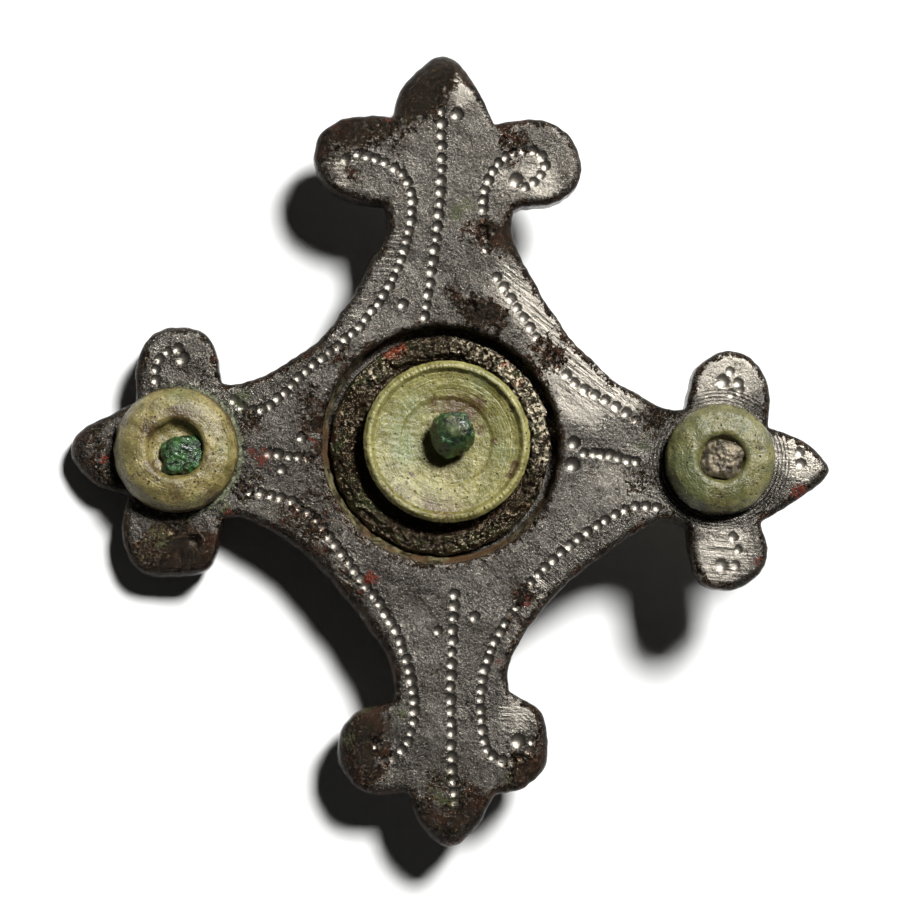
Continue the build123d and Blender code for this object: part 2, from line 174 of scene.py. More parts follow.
# Rows of punched dots: pitch, then points (x, y) of the row's curve as shares of the reaches on that side
PUNCH_ROWS = [
    (0.76, [(0.00, 0.86), (0.00, 0.69), (-0.014, 0.52), (-0.045, 0.33)]),
    (0.80, [(-0.26, 0.735), (-0.225, 0.75)]),
    (0.66, [(-0.20, 0.745), (-0.155, 0.73), (-0.10, 0.69), (-0.078, 0.60), (-0.095, 0.52), (-0.152, 0.39),
            (-0.26, 0.27), (-0.395, 0.162), (-0.51, 0.088), (-0.56, 0.11)]),
    (0.66, [(0.24, 0.68), (0.268, 0.73), (0.226, 0.76), (0.179, 0.752), (0.132, 0.705),
            (0.109, 0.626), (0.111, 0.573), (0.116, 0.507)]),
    (0.78, [(0.144, 0.43), (0.195, 0.353), (0.265, 0.253), (0.362, 0.148), (0.447, 0.103), (0.50, 0.066)]),
    (0.62, [(0.368, -0.018), (0.43, -0.025), (0.50, -0.041)]),
    (0.74, [(0.553, -0.155), (0.494, -0.152), (0.424, -0.186), (0.331, -0.247), (0.23, -0.343)]),
    (0.66, [(0.193, -0.402), (0.148, -0.47), (0.117, -0.542), (0.101, -0.617), (0.105, -0.70),
            (0.128, -0.77), (0.171, -0.784), (0.222, -0.765), (0.232, -0.735)]),
    (0.78, [(0.034, -0.371), (0.028, -0.542), (0.026, -0.682), (0.036, -0.89)]),
    (0.68, [(-0.514, -0.117), (-0.383, -0.152), (-0.288, -0.246), (-0.188, -0.366),
            (-0.107, -0.496), (-0.074, -0.617), (-0.082, -0.716), (-0.111, -0.761), (-0.152, -0.788)]),
    (0.62, [(-0.465, -0.02), (-0.358, -0.032)]),
    (0.66, [(-0.77, 0.164), (-0.768, 0.207), (-0.74, 0.238), (-0.71, 0.246)]),
]
SINGLE_PUNCHES = [
    (-0.103, 0.361), (0.08, 0.359), (-0.43, -0.062), (-0.379, 0.018),
    (-0.008, -0.462), (0.086, -0.428), (0.742, 0.193), (0.763, 0.163), (0.745, 0.134), (0.768, 0.142),
    (0.217, 0.667), (0.747, -0.231), (0.763, -0.262), (0.755, -0.298), (0.922, -0.015), (0.922, -0.045),
]
LARGE_PUNCHES = [
    (0.042, 0.853), (0.195, 0.682), (-0.70, 0.222), (0.34, 0.005), (0.336, -0.05),
    (0.198, -0.735), (-0.663, -0.239), (0.724, 0.165), (0.716, -0.299), (-0.175, -0.742), (-0.719, -0.212),
]

# Soft patches, each with its middle (x, y), its reach and its strength.
# Where the plate's edge stands out a little further than the part's
FULLER = [(0.3, 25.9, 1.7, 0.24), (9.0, 17.9, 1.5, 0.2), (-24.6, -0.2, 1.0, 0.06)]

# Where the plate's rim is worn rounder than elsewhere
ROUNDER = [
    (0.0, 25.2, 2.2, 1.1), (-2.6, 23.0, 1.6, 0.5), (-8.6, 18.8, 1.8, 0.5), (8.4, 18.8, 1.6, 0.3),
    (-24.0, -0.4, 2.4, 0.8), (-17.6, -8.6, 2.2, 0.5), (-17.8, 7.6, 1.8, 0.3), (-6.4, -20.2, 2.2, 0.8),
    (0.6, -26.0, 2.2, 0.8), (6.6, -20.0, 2.0, 0.6), (-9.0, -7.5, 2.5, 0.35), (-5.6, -11.5, 2.5, 0.45),
    (25.0, -1.6, 1.6, 0.4), (19.2, -9.0, 1.6, 0.2),
]

# Masks of the plate's finish: tin gone down to the brown bronze, painted shade that darkens the tin mostly on
# the left and lower parts, painted light that lightens it mostly toward the upper right, red cuprite, green
# corrosion, level file strokes, and file strokes that fall to the right
PLATE_PATCHES = {
    "bare": [
        (-1.0, 24.1, 1.7, 1.0), (-2.3, 22.4, 1.4, 1.0), (0.2, 25.2, 1.2, 1.0), (2.1, 24.3, 0.7, 0.9),
        (-1.2, 22.6, 1.2, 0.8), (-3.0, 21.0, 0.9, 0.9), (-6.4, 20.7, 1.3, 1.0), (-4.6, 20.6, 1.1, 1.0),
        (-8.2, 19.8, 1.2, 1.0), (-5.8, 17.9, 0.5, 0.9), (-2.9, 19.6, 0.7, 0.5), (4.3, 20.3, 0.7, 0.8),
        (3.4, 13.6, 1.1, 0.9), (2.0, 13.9, 0.8, 0.8), (4.3, 13.4, 0.7, 0.7), (0.7, 10.2, 0.55, 1.0),
        (0.9, 9.4, 0.5, 0.9), (1.9, 8.9, 0.7, 0.9), (3.0, 8.7, 0.8, 1.0), (4.1, 8.2, 0.7, 0.9),
        (2.1, 10.0, 0.3, 0.6), (6.9, 6.4, 1.0, 0.9), (7.4, 5.5, 0.7, 0.8), (-8.4, 1.4, 1.2, 0.8),
        (-8.6, 3.2, 1.0, 0.7), (-6.6, 5.9, 1.0, 0.6), (-23.2, 0.3, 1.5, 0.9), (-22.0, -2.1, 1.2, 0.8),
        (-16.9, -8.2, 1.9, 1.0), (-18.9, -7.0, 1.5, 1.0), (-15.6, -6.6, 1.3, 0.8), (-5.8, -19.6, 2.1, 1.0),
        (-4.6, -21.2, 1.2, 1.0), (-7.4, -20.4, 1.4, 0.9), (0.9, -24.9, 1.7, 1.0), (-0.8, -23.6, 0.9, 0.8),
        (2.4, -23.6, 1.2, 0.9), (7.0, -20.2, 1.1, 1.0), (5.8, -21.8, 1.2, 1.0), (4.2, -22.7, 0.8, 0.8),
        (-8.4, -5.6, 1.2, 0.8), (-6.3, -9.2, 1.0, 0.8), (-4.6, -12.8, 0.9, 0.9), (13.6, 1.9, 1.2, 0.8),
        (13.1, -2.2, 1.0, 0.7), (12.4, -4.6, 0.9, 0.5), (-12.6, 1.6, 1.2, 0.7), (-12.9, -2.6, 1.2, 0.8),
        (-19.6, 5.6, 0.8, 0.7), (-15.8, 4.6, 0.9, 0.6), (24.4, -3.2, 0.8, 0.8), (5.6, -9.8, 0.8, 1.1),
        (4.6, -11.6, 0.7, 0.6), (4.9, -15.0, 0.7, 0.6), (-7.2, -7.4, 1.4, 0.4), (-9.5, -4.8, 1.4, 0.45),
        (-5.6, -10.6, 1.3, 0.45), (5.4, 19.9, 1.0, 0.6), (4.6, 18.6, 0.5, 0.7), (-6.6, -17.8, 1.4, 0.8),
        (-8.2, -18.6, 1.2, 0.9), (-4.2, -18.2, 0.9, 0.7), (7.5, -18.2, 0.7, 0.9), (6.9, -19.2, 0.7, 0.9),
        (5.0, -20.9, 0.9, 0.8), (5.2, -9.9, 0.6, 0.9), (-0.2, -22.0, 0.7, 0.7), (1.6, -22.4, 0.7, 0.6),
        (-17.0, -6.2, 1.6, 0.7), (-0.1, 25.0, 1.0, 0.8), (-0.8, 24.2, 1.0, 0.6), (-5.2, -18.6, 1.0, 0.6),
        (-3.7, -19.9, 0.6, 0.5), (3.0, 14.4, 0.9, 0.4), (-7.4, -17.0, 0.9, 0.5), (14.5, 1.6, 0.8, 0.6),
        (15.3, 2.8, 0.5, 0.5), (14.8, -4.4, 0.5, 0.5), (-8.5, -1.0, 0.8, 0.6), (-8.3, -3.0, 0.8, 0.5),
        (-8.0, 17.2, 0.8, 0.6), (2.9, 9.0, 1.0, 0.7), (7.2, 6.0, 0.8, 0.5),
    ],
    # Painted shade: patches that darken the tin, mostly on the left and lower parts, away from the light
    "painted_shade": [
        (-10.0, 6.6, 3.6, 0.8), (-9.5, -5.6, 3.8, 0.7), (-17.3, -7.0, 2.6, 0.9), (0.3, -23.0, 2.6, 0.7),
        (-6.8, 18.4, 2.4, 0.9), (-6.0, -18.6, 2.6, 1.0), (-4.8, -17.2, 1.4, 0.7), (-22.0, -0.4, 2.4, 0.7),
        (2.0, 14.8, 1.6, 0.4), (-18.0, 5.6, 2.2, 0.45), (-12.6, 0.0, 2.4, 0.4),
    ],
    # Painted light: patches that lighten the tin, mostly toward the upper right, where the light falls
    # strongest
    "painted_light": [
        (1.5, 23.0, 0.9, 1.0), (1.2, 24.0, 0.6, 0.8), (4.2, 10.6, 1.8, 0.8), (6.4, 9.0, 1.7, 1.2),
        (8.2, 6.3, 2.4, 1.4), (10.6, 4.3, 2.1, 1.2), (9.0, 2.6, 1.8, 0.8), (12.0, 3.0, 1.3, 0.9),
        (19.2, 4.6, 2.2, 1.2), (17.6, 3.6, 1.3, 0.9), (23.8, -1.2, 1.6, 1.2), (22.6, 0.0, 1.2, 1.0),
        (18.6, -6.9, 2.1, 1.2), (17.6, -8.2, 1.4, 0.9), (5.6, 18.2, 2.0, 0.7), (6.9, 17.2, 1.3, 0.6),
        (-6.2, 18.2, 1.6, 0.6), (3.4, 17.0, 1.4, 0.5), (-1.6, 13.6, 2.2, 0.35), (4.9, -17.7, 1.2, 1.1),
        (10.8, -1.6, 1.8, 0.6), (8.8, -5.6, 1.6, 0.5), (12.6, -3.2, 1.6, 0.45), (13.4, 1.0, 1.4, 0.45),
        (-18.6, 6.2, 1.2, 0.6), (4.9, -13.4, 0.7, 0.6), (1.0, 17.6, 1.3, 0.4), (-5.6, 9.2, 1.3, 0.3),
    ],
    "rust": [
        (-11.7, -1.0, 0.7, 1.0), (-12.4, -0.4, 0.4, 0.8), (-4.6, -8.7, 0.5, 1.0), (-13.9, -4.6, 0.6, 0.8),
        (5.7, -10.3, 0.5, 0.9), (-5.2, -9.4, 0.5, 0.6), (3.6, -14.2, 0.5, 0.6), (23.6, -3.1, 0.9, 0.9),
        (-20.0, 4.0, 0.5, 0.7), (-22.2, -1.0, 0.6, 0.7), (-3.2, 21.6, 0.6, 0.5), (4.4, 20.5, 0.5, 0.6),
        (-14.4, -6.6, 0.5, 0.7), (20.9, -7.6, 0.5, 0.7), (7.7, -19.9, 0.4, 0.8), (-8.4, 0.2, 0.4, 0.7),
        (5.9, -11.6, 0.4, 0.6), (-7.8, -3.1, 0.4, 0.6), (-7.4, 20.9, 0.9, 0.5), (-3.9, 11.6, 0.5, 0.3),
        (5.1, -9.6, 0.5, 0.7), (-17.6, -7.6, 0.6, 0.45), (-19.6, -6.4, 0.5, 0.35),
    ],
    "green": [
        (0.9, 15.2, 0.9, 0.9), (1.9, 16.2, 0.7, 0.7), (-0.9, 16.9, 0.5, 0.5), (-2.4, 21.2, 0.5, 0.7),
        (-17.35, -0.4, 4.6, 0.55), (-13.2, 3.0, 0.8, 0.9), (-14.4, -4.1, 0.8, 0.7), (-18.6, -6.6, 1.1, 0.7),
        (-6.0, -19.4, 1.0, 0.6), (-2.6, -17.6, 0.6, 0.7), (3.5, -17.2, 0.5, 0.6), (-0.7, -18.7, 0.7, 0.4),
        (-3.3, -21.6, 0.6, 0.6), (-6.4, -17.2, 1.2, 0.75), (-4.8, -16.9, 0.9, 0.7), (-0.4, -23.0, 0.8, 0.6),
        (18.35, -0.95, 4.1, 0.45), (13.4, 0.2, 0.7, 0.7), (0.2, -21.6, 0.8, 0.4), (19.6, 5.2, 0.5, 0.5),
        (23.1, -2.6, 0.5, 0.5), (-4.4, 20.4, 0.5, 0.4), (-9.3, 3.9, 0.5, 0.5), (4.4, -21.9, 0.7, 0.6),
        (0.6, -23.4, 0.7, 0.6),
    ],
    "level_strokes": [
        (-6.6, 18.0, 1.5, 1.0), (-8.0, 17.6, 1.0, 0.8), (-3.3, 15.4, 1.0, 1.0), (-3.4, 13.4, 1.0, 1.0),
        (-4.3, 11.6, 1.2, 1.0), (-6.0, 9.4, 1.2, 0.8), (18.0, -7.9, 1.9, 1.0), (19.3, -7.0, 1.2, 0.8),
        (13.6, -1.0, 2.4, 0.4), (-18.2, 6.6, 1.2, 0.5), (4.2, 14.2, 1.0, 0.4), (6.8, 18.6, 1.4, 0.5),
        (22.6, -0.8, 1.3, 0.5), (-2.0, -15.0, 1.4, 0.3), (4.8, -17.6, 1.2, 1.4),
    ],
    "slanting_strokes": [
        (6.6, 8.6, 1.8, 1.0), (8.6, 6.0, 2.2, 1.0), (11.2, 4.0, 1.9, 0.9), (4.6, 11.2, 1.6, 0.7),
        (-6.4, -8.2, 1.6, 0.8), (-8.6, -6.0, 1.4, 0.6), (6.2, -9.4, 1.4, 0.8), (8.6, -6.8, 1.4, 0.6),
        (5.2, -18.4, 1.2, 0.7), (-7.2, 6.6, 1.6, 0.3), (5.0, -12.6, 0.9, 0.8),
    ],
}

# Masks of the ring's finish: red cuprite, and where painted glints and painted light are stronger than
# elsewhere, mostly on the upper right that faces the light, or below 0 weaker, on the lower left
RING_PATCHES = {
    "rust": [
        (-2.6, 6.4, 0.9, 0.9), (-3.6, 6.0, 0.6, 0.7), (4.2, 5.4, 0.9, 0.9), (5.2, 4.2, 0.7, 0.8),
        (-7.2, 0.6, 0.7, 0.9), (-6.7, 1.6, 0.5, 0.7), (5.6, -4.3, 0.8, 0.6), (-5.2, -4.6, 0.6, 0.6),
        (-3.4, -6.2, 0.6, 0.5), (6.7, 0.4, 0.5, 0.5),
    ],
    "painted_glints": [
        (5.0, 4.6, 1.8, 1.0), (6.6, 2.0, 1.6, 0.9), (6.9, -0.8, 1.4, 0.7), (2.0, 6.6, 1.5, 0.7),
        (-4.6, 4.6, 1.2, 0.5), (-6.2, 1.0, 1.0, 0.4), (1.5, -6.6, 1.4, 0.3), (-5.4, -3.8, 2.0, -0.8),
        (-1.6, -6.6, 2.0, -0.6), (-6.6, -0.8, 1.4, -0.5),
    ],
}

# Masks of the disc's finish and of the two buttons': brown and greenish stains
DISC_STAINS = {
    "brown": [
        (-1.4, -3.6, 1.4, 0.3), (1.8, -4.0, 1.4, 0.35), (-3.6, -1.4, 1.2, 0.25), (2.3, 1.9, 0.8, 0.4),
        (-0.2, 2.3, 0.7, 0.4), (1.7, 2.7, 1.3, 0.3), (0.6, 3.1, 0.9, 0.3), (4.9, -1.3, 0.4, 1.1),
        (4.6, -2.0, 0.35, 0.8), (0.6, -1.4, 1.3, 0.45), (-2.0, 1.6, 0.8, 0.35), (2.9, -1.8, 0.7, 0.35),
        (3.5, 0.3, 0.22, 1.2), (3.3, 1.9, 0.25, 0.7), (-1.9, -1.9, 0.25, 0.7), (4.7, 2.4, 0.35, 0.6),
        (-0.8, -3.9, 0.5, 0.5), (0.0, 5.1, 0.5, 0.4), (-3.6, -3.0, 0.4, 0.5), (1.2, 2.2, 0.9, 0.6),
        (2.4, 2.7, 0.6, 0.6), (-0.6, 2.9, 0.5, 0.5), (2.6, 0.9, 0.4, 0.7), (-0.6, 1.3, 0.4, 0.6),
        (0.2, -4.4, 1.0, 0.5), (-2.6, -3.2, 0.8, 0.4),
    ],
    "green": [
        (-3.0, 1.2, 1.8, 0.4), (-1.6, 2.8, 1.5, 0.4), (2.6, 4.2, 1.4, 0.5), (-2.2, -0.6, 1.3, 0.55),
        (3.9, -0.6, 1.2, 0.5), (3.4, 1.6, 1.2, 0.4),
    ],
}
LEFT_STAINS = {
    "brown": [
        (-19.0, 0.9, 0.9, 0.8), (-16.2, 1.7, 1.0, 0.6), (-18.9, -1.6, 0.8, 0.7), (-15.2, -1.2, 0.8, 0.6),
        (-17.4, -3.3, 1.2, 0.6), (-15.0, -3.2, 0.7, 0.6), (-20.8, 1.4, 0.6, 0.5), (-14.0, 1.2, 0.7, 0.4),
        (-17.3, 2.0, 0.7, 0.7), (-20.4, -2.4, 0.6, 0.4),
    ],
    "green": [
        (-17.0, 3.3, 1.6, 0.5), (-20.8, -0.6, 1.2, 0.4), (-14.2, -0.6, 0.9, 0.4), (-16.0, -3.9, 1.0, 0.4),
        (-19.8, 2.6, 0.8, 0.3),
    ],
}
RIGHT_STAINS = {
    "brown": [
        (18.2, -3.6, 1.4, 0.5), (20.9, 0.2, 0.9, 0.4), (16.0, 0.8, 0.8, 0.4), (18.4, 1.6, 0.8, 0.4),
        (20.4, -2.6, 0.7, 0.4),
    ],
    "green": [(15.9, -1.2, 1.3, 0.7), (16.8, -3.0, 1.0, 0.6), (17.0, 1.2, 0.9, 0.5), (19.6, 1.6, 0.8, 0.3)],
}


def triangles_of(node):
    """The corners of a CAD node's triangles, in millimetres."""
    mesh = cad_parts[node].data
    mesh.calc_loop_triangles()
    spots = np.empty(len(mesh.vertices) * 3)
    mesh.vertices.foreach_get("co", spots)
    corners = np.empty(len(mesh.loop_triangles) * 3, int)
    mesh.loop_triangles.foreach_get("vertices", corners)
    return spots.reshape(-1, 3)[corners].reshape(-1, 3, 3) * 1000


def lie_of_the_plate():
    """The plate's own frame as it lies: z is square to its largest triangle, y is square to z and to the
    row's x, and the origin lies a plate's thickness under the face, in line with the ring's middle."""
    corners = triangles_of("plate")
    across = np.cross(corners[:, 1] - corners[:, 0], corners[:, 2] - corners[:, 0])
    z = across[np.linalg.norm(across, axis=1).argmax()]
    z *= np.sign(z[2]) / np.linalg.norm(z)
    y = np.cross(z, (1, 0, 0))
    y /= np.linalg.norm(y)
    axes = np.array([np.cross(y, z), y, z])
    ring = triangles_of("seat_ring").reshape(-1, 3) @ axes.T
    middle = (ring.min(axis=0) + ring.max(axis=0)) / 2
    middle[2] = (corners.reshape(-1, 3) @ z).max() - face
    return middle @ axes, axes


plate_origin, plate_axes = lie_of_the_plate()


def as_it_lies(points):
    """Points of the plate's frame, in millimetres, as points of the row's frame, in metres."""
    return (plate_origin + np.asarray(points) @ plate_axes) / 1000


def full_turn(many):
    """So many angles, evenly spaced round one turn."""
    return np.linspace(0, 2 * pi, many, endpoint=False)


def unit(turn):
    """Unit vectors (cosine, sine) at the given angles."""
    return np.stack([np.cos(turn), np.sin(turn)], axis=-1)


def bell(offset, width):
    """A bell curve: exp(-(offset / width) squared)."""
    return np.exp(-((offset / width) ** 2))


def ripple(points, wavelength, seed, waves=40):
    """Soft unevenness around 0: the sum of sine waves that run in seeded directions with seeded phases, each
    0.6 to 1.7 wavelengths long, divided by the root of half their number."""
    dice = np.random.default_rng(seed)
    ways = dice.normal(size=(waves, points.shape[-1]))
    ways *= 2 * pi / wavelength / dice.uniform(0.6, 1.7, (waves, 1)) / np.linalg.norm(ways, axis=1)[:, None]
    phases = dice.uniform(0, 2 * pi, waves)
    total = np.zeros(points.shape[:-1])
    for way, phase in zip(ways, phases):
        total += np.sin(points @ way + phase)
    return total / sqrt(waves / 2)


def patches(points, table):
    """The sum of a table's soft patches at each point: strength times exp(-(distance / reach) squared)."""
    total = np.zeros(len(points))
    for x, y, reach, strength in table:
        total += strength * np.exp(-((points[:, 0] - x) ** 2 + (points[:, 1] - y) ** 2) / reach**2)
    return total


def soft_masks(points, tables):
    """The sum of each mask's soft patches at each point."""
    return {mask: patches(points, table) for mask, table in tables.items()}


def run_along(line):
    """How far along a row of points each of them lies."""
    return np.r_[0, np.cumsum(np.linalg.norm(np.diff(line, axis=0), axis=1))]


def spots_along(line, run, places):
    """The places of a flat row of points that lie so far along it."""
    return np.stack([np.interp(places, run, line[:, axis]) for axis in (0, 1)], axis=1)


def ways_along(line):
    """The way that a row of points runs at each of them, as unit vectors."""
    way = np.gradient(line, axis=0)
    return way / np.maximum(np.linalg.norm(way, axis=1), 1e-9)[:, None]


def curve_through(spots, step):
    """Points about a step apart on the natural cubic spline through the spots, run by its chords' length."""
    spots = np.asarray(spots, float)
    knots = run_along(spots)
    gaps, count = np.diff(knots), len(knots)
    slopes = np.diff(spots, axis=0) / gaps[:, None]
    system, pull = np.eye(count), np.zeros_like(spots)
    inner = np.arange(1, count - 1)
    system[inner, inner - 1], system[inner, inner + 1] = gaps[:-1], gaps[1:]
    system[inner, inner] = 2 * (gaps[:-1] + gaps[1:])
    pull[1:-1] = 6 * np.diff(slopes, axis=0)
    bend = np.linalg.solve(system, pull)
    run = np.linspace(0, knots[-1], max(2, round(knots[-1] / step) + 1))
    k = np.clip(np.searchsorted(knots, run, "right") - 1, 0, count - 2)
    after, before, gap = (run - knots[k])[:, None], (knots[k + 1] - run)[:, None], gaps[k][:, None]
    return (
        (bend[k] * before**3 + bend[k + 1] * after**3) / (6 * gap)
        + (spots[k] / gap - bend[k] * gap / 6) * before
        + (spots[k + 1] / gap - bend[k + 1] * gap / 6) * after
    )


def evenly(loop, step):
    """The points of a closed loop again, evenly spaced along it."""
    closed = np.vstack([loop, loop[:1]])
    run = run_along(closed)
    return spots_along(closed, run, np.linspace(0, run[-1], round(run[-1] / step), endpoint=False))


def softened(loop, reach):
    """A closed loop's points, each the mean of those around it under a bell curve so many points wide."""
    waves = np.fft.fftfreq(len(loop))[:, None]
    return np.fft.ifft(np.fft.fft(loop, axis=0) * np.exp(-2 * (pi * waves * reach) ** 2), axis=0).real


def outwards(loop):
    """Unit normals that point out of an anticlockwise closed loop."""
    way = np.roll(loop, -1, axis=0) - np.roll(loop, 1, axis=0)
    return np.stack([way[:, 1], -way[:, 0]], axis=1) / np.linalg.norm(way, axis=1)[:, None]


def nearest(points, marks, block=4000):
    """Each point's distance to the nearest mark and that mark's number.  The mark is the one whose m.m - 2 p.m
    is least, worked out block by block."""
    which = np.concatenate([
        ((marks**2).sum(axis=1) - 2 * points[start:start + block] @ marks.T).argmin(axis=1)
        for start in range(0, len(points), block)
    ])
    return np.linalg.norm(points - marks[which], axis=1), which


def arm_point(arm, along, across):
    """A point of the plate from its shares of an arm's reach and half spread."""
    heading, reach, half_spread, shift = ARMS[arm]
    turn = radians(heading)
    x, y = along * reach, shift + across * half_spread
    return x * cos(turn) - y * sin(turn), x * sin(turn) + y * cos(turn)


def plate_point(x_share, y_share):
    """A point of the plate from its shares of the reaches on its side of the centre."""
    x_reach = ARMS["right"][1] if x_share > 0 else ARMS["left"][1]
    y_reach = ARMS["top"][1] if y_share > 0 else ARMS["bottom"][1]
    return x_share * x_reach, y_share * y_reach


def plate_edge(step=0.11):
    """The plate's edge as a closed row of points: splines from notch to notch, softened in the notches, and
    pushed in and out a little as a cast and filed edge is."""
    runs = {arm: [[arm_point(arm, *spot) for spot in run] for run in rows] for arm, rows in ARM_EDGES.items()}
    arms, pieces = list(runs), []
    for arm, next_arm in zip(arms, arms[1:] + arms[:1]):
        for run, next_run in zip(runs[arm][1:], runs[arm][2:]):
            pieces.append(curve_through([*run, next_run[0]], step)[:-1])
        next_flank, next_lobe = runs[next_arm][:2]
        way = [*runs[arm][-1], plate_point(*HOLLOWS[arm]), *next_flank, next_lobe[0]]
        pieces.append(curve_through(way, step)[:-1])
    loop = softened(evenly(np.vstack(pieces), step), 1.5)
    push = 0.035 * ripple(loop, 2.6, 3) + 0.014 * ripple(loop, 0.8, 4) + 0.03 + patches(loop, FULLER)
    return loop + outwards(loop) * push[:, None]


def net_between(outer, hole, inside):
    """Triangles that fill the ground between an anticlockwise outer loop and a round hole, through the points
    on it: a Delaunay net that keeps the loops' edges.  Of the triangles between points of the outer loop alone,
    those that turn left in the loop's order lie inside it; those between points of the hole alone lie in it."""
    rim = len(outer) + len(hole)
    edges = [
        np.stack([np.arange(len(loop)), np.roll(np.arange(len(loop)), -1)], axis=1) + start
        for loop, start in ((outer, 0), (hole, len(outer)))
    ]
    spots = np.vstack([outer, hole, inside])
    corners = [Vector(spot) for spot in spots.tolist()]
    found = delaunay_2d_cdt(corners, np.vstack(edges).tolist(), [], 0, 1e-7, True)
    faces = np.array([origin[0] for origin in found[3]])[np.array(found[2])]
    ordered = np.sort(faces, axis=1)
    a, b, c = spots[ordered].transpose(1, 0, 2)
    left_turn = (b - a)[:, 0] * (c - a)[:, 1] > (b - a)[:, 1] * (c - a)[:, 0]
    outside = (ordered[:, 2] < len(outer)) & ~left_turn
    in_hole = (ordered[:, 0] >= len(outer)) & (ordered[:, 2] < rim)
    return spots, faces[~outside & ~in_hole]


def grid_faces(rows, columns, wrap_rows=False):
    """The four-sided faces of a grid of points that is numbered row by row, with its last column joined to its
    first."""
    row, column = np.meshgrid(np.arange(rows if wrap_rows else rows - 1), np.arange(columns), indexing="ij")
    over, along = (row + 1) % rows, (column + 1) % columns
    corners = (row * columns + column, row * columns + along, over * columns + along, over * columns + column)
    return np.stack(corners, axis=-1).reshape(-1, 4)


def make_piece(name, points, faces, finish, replaced, masks=None):
    """A piece from points in the plate's frame and from arrays of faces, with its seams closed.  Each point
    keeps its place in the plate's frame, in millimetres, as the attribute that the finishes read."""
    points = np.asarray(points, float)
    mesh = bpy.data.meshes.new(name)
    mesh.from_pydata(as_it_lies(points).tolist(), [], [face for part in faces for face in part.tolist()])
    place = mesh.attributes.new("place", "FLOAT_VECTOR", "POINT")
    place.data.foreach_set("vector", points.astype(np.float32).ravel())
    for mask, values in (masks or {}).items():
        layer = mesh.attributes.new(mask, "FLOAT", "POINT")
        layer.data.foreach_set("value", np.asarray(values, np.float32).ravel())
    shell = bmesh.new()
    shell.from_mesh(mesh)
    bmesh.ops.remove_doubles(shell, verts=shell.verts, dist=weld_gap / 1000)
    bmesh.ops.recalc_face_normals(shell, faces=shell.faces)
    shell.to_mesh(mesh)
    shell.free()
    mesh.polygons.foreach_set("use_smooth", np.ones(len(mesh.polygons), bool))
    mesh.materials.append(finish)
    made = bpy.data.objects.new(name, mesh)
    bpy.context.scene.collection.objects.link(made)
    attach(made, "root")
    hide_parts(replaced)


def turned(profile, middle, around, uneven, wavelength, seed, shape=None):
    """A turned form: the profile's point (r, h) at angle u lies at (r cos u, r sin u, h) from the middle and is
    pushed along the profile's normal by a ripple.  shape(u, r, h) may bend r and h first.  Gives points and
    faces."""
    angle = full_turn(around)[None, :]
    r, h = profile[:, :1] + 0 * angle, profile[:, 1:] + 0 * angle
    way = ways_along(profile)
    if shape:
        r, h = shape(angle, r, h)
    push = uneven * ripple(np.stack([r * np.cos(angle), r * np.sin(angle), h], axis=-1), wavelength, seed)
    r = np.where(profile[:, :1] > 0, r + push * way[:, 1:], 0)
    h = np.where(profile[:, :1] > 0, h - push * way[:, :1], profile[:, 1:])
    points = np.stack([middle[0] + r * np.cos(angle), middle[1] + r * np.sin(angle), h], axis=-1)
    return points.reshape(-1, 3), grid_faces(len(profile), around)


def rounded_profile(profile, radius, spacing):
    """Points about a spacing apart along a profile whose corners are softened: each point is averaged over a
    window about a radius wide."""
    profile = np.asarray(profile, float)
    stretches = []
    for start, end in zip(profile, profile[1:]):
        steps = max(1, round(np.linalg.norm(end - start) / spacing))
        stretches.append(start + (end - start) * np.linspace(0, 1, steps, endpoint=False)[:, None])
    line = np.vstack([*stretches, profile[-1:]])
    half = max(1, round(radius / spacing))
    kernel = np.hanning(2 * half + 3)[1:-1]
    kernel /= kernel.sum()
    padded = np.vstack([np.repeat(line[:1], half, axis=0), line, np.repeat(line[-1:], half, axis=0)])
    soft = np.stack([np.convolve(padded[:, axis], kernel, "valid") for axis in (0, 1)], axis=1)
    soft[0], soft[-1] = line[0], line[-1]
    return soft


def thinned(line, fine, every):
    """A profile's points, of which only one in so many is kept where it needn't be fine."""
    kept = fine | (np.arange(len(line)) % every == 0)
    kept[[0, -1]] = True
    return line[kept]


def boxy(around, squareness):
    """One turn of a rounded square from -1 to 1, as two rows: cosine and sine, to the power 2 / squareness."""
    turn = full_turn(around)
    return [np.sign(side) * np.abs(side) ** (2 / squareness) for side in (np.cos(turn), np.sin(turn))]


def joined(*shells):
    """Several shells as one row of points and one list of face arrays."""
    starts = np.cumsum([0] + [len(points) for points, _ in shells])
    faces = [faces + start for (_, faces), start in zip(shells, starts)]
    return np.vstack([points for points, _ in shells]), faces


def punched_dots():
    """The dents of the punch, as middles, radii and depths: evenly spaced along each row's curve, with small
    seeded slips in place, size and depth."""
    dice = np.random.default_rng(11)
    spots = []
    for pitch, shares in PUNCH_ROWS:
        line = curve_through([plate_point(*share) for share in shares], 0.02)
        run = run_along(line)
        spots.append(spots_along(line, run, np.linspace(0, run[-1], max(1, round(run[-1] / pitch)) + 1)))
    small = np.vstack([*spots, [plate_point(*share) for share in SINGLE_PUNCHES]])
    large = np.array([plate_point(*share) for share in LARGE_PUNCHES])
    spots = np.vstack([small, large]) + dice.normal(0, dent_slip, (len(small) + len(large), 2))
    radius = np.r_[dice.normal(*small_dent, len(small)), dice.normal(*large_dent, len(large))]
    return spots, radius, radius * dice.uniform(*dent_depth, len(spots))


dots, dot_radius, dot_depth = punched_dots()
edge_loop = plate_edge()


def edge_gap(spots):
    """How far inside the plate's edge each point lies, square to the edge; outside it the gap is below 0."""
    mark = nearest(spots, edge_loop)[1]
    return ((edge_loop[mark] - spots) * outwards(edge_loop)[mark]).sum(axis=1)


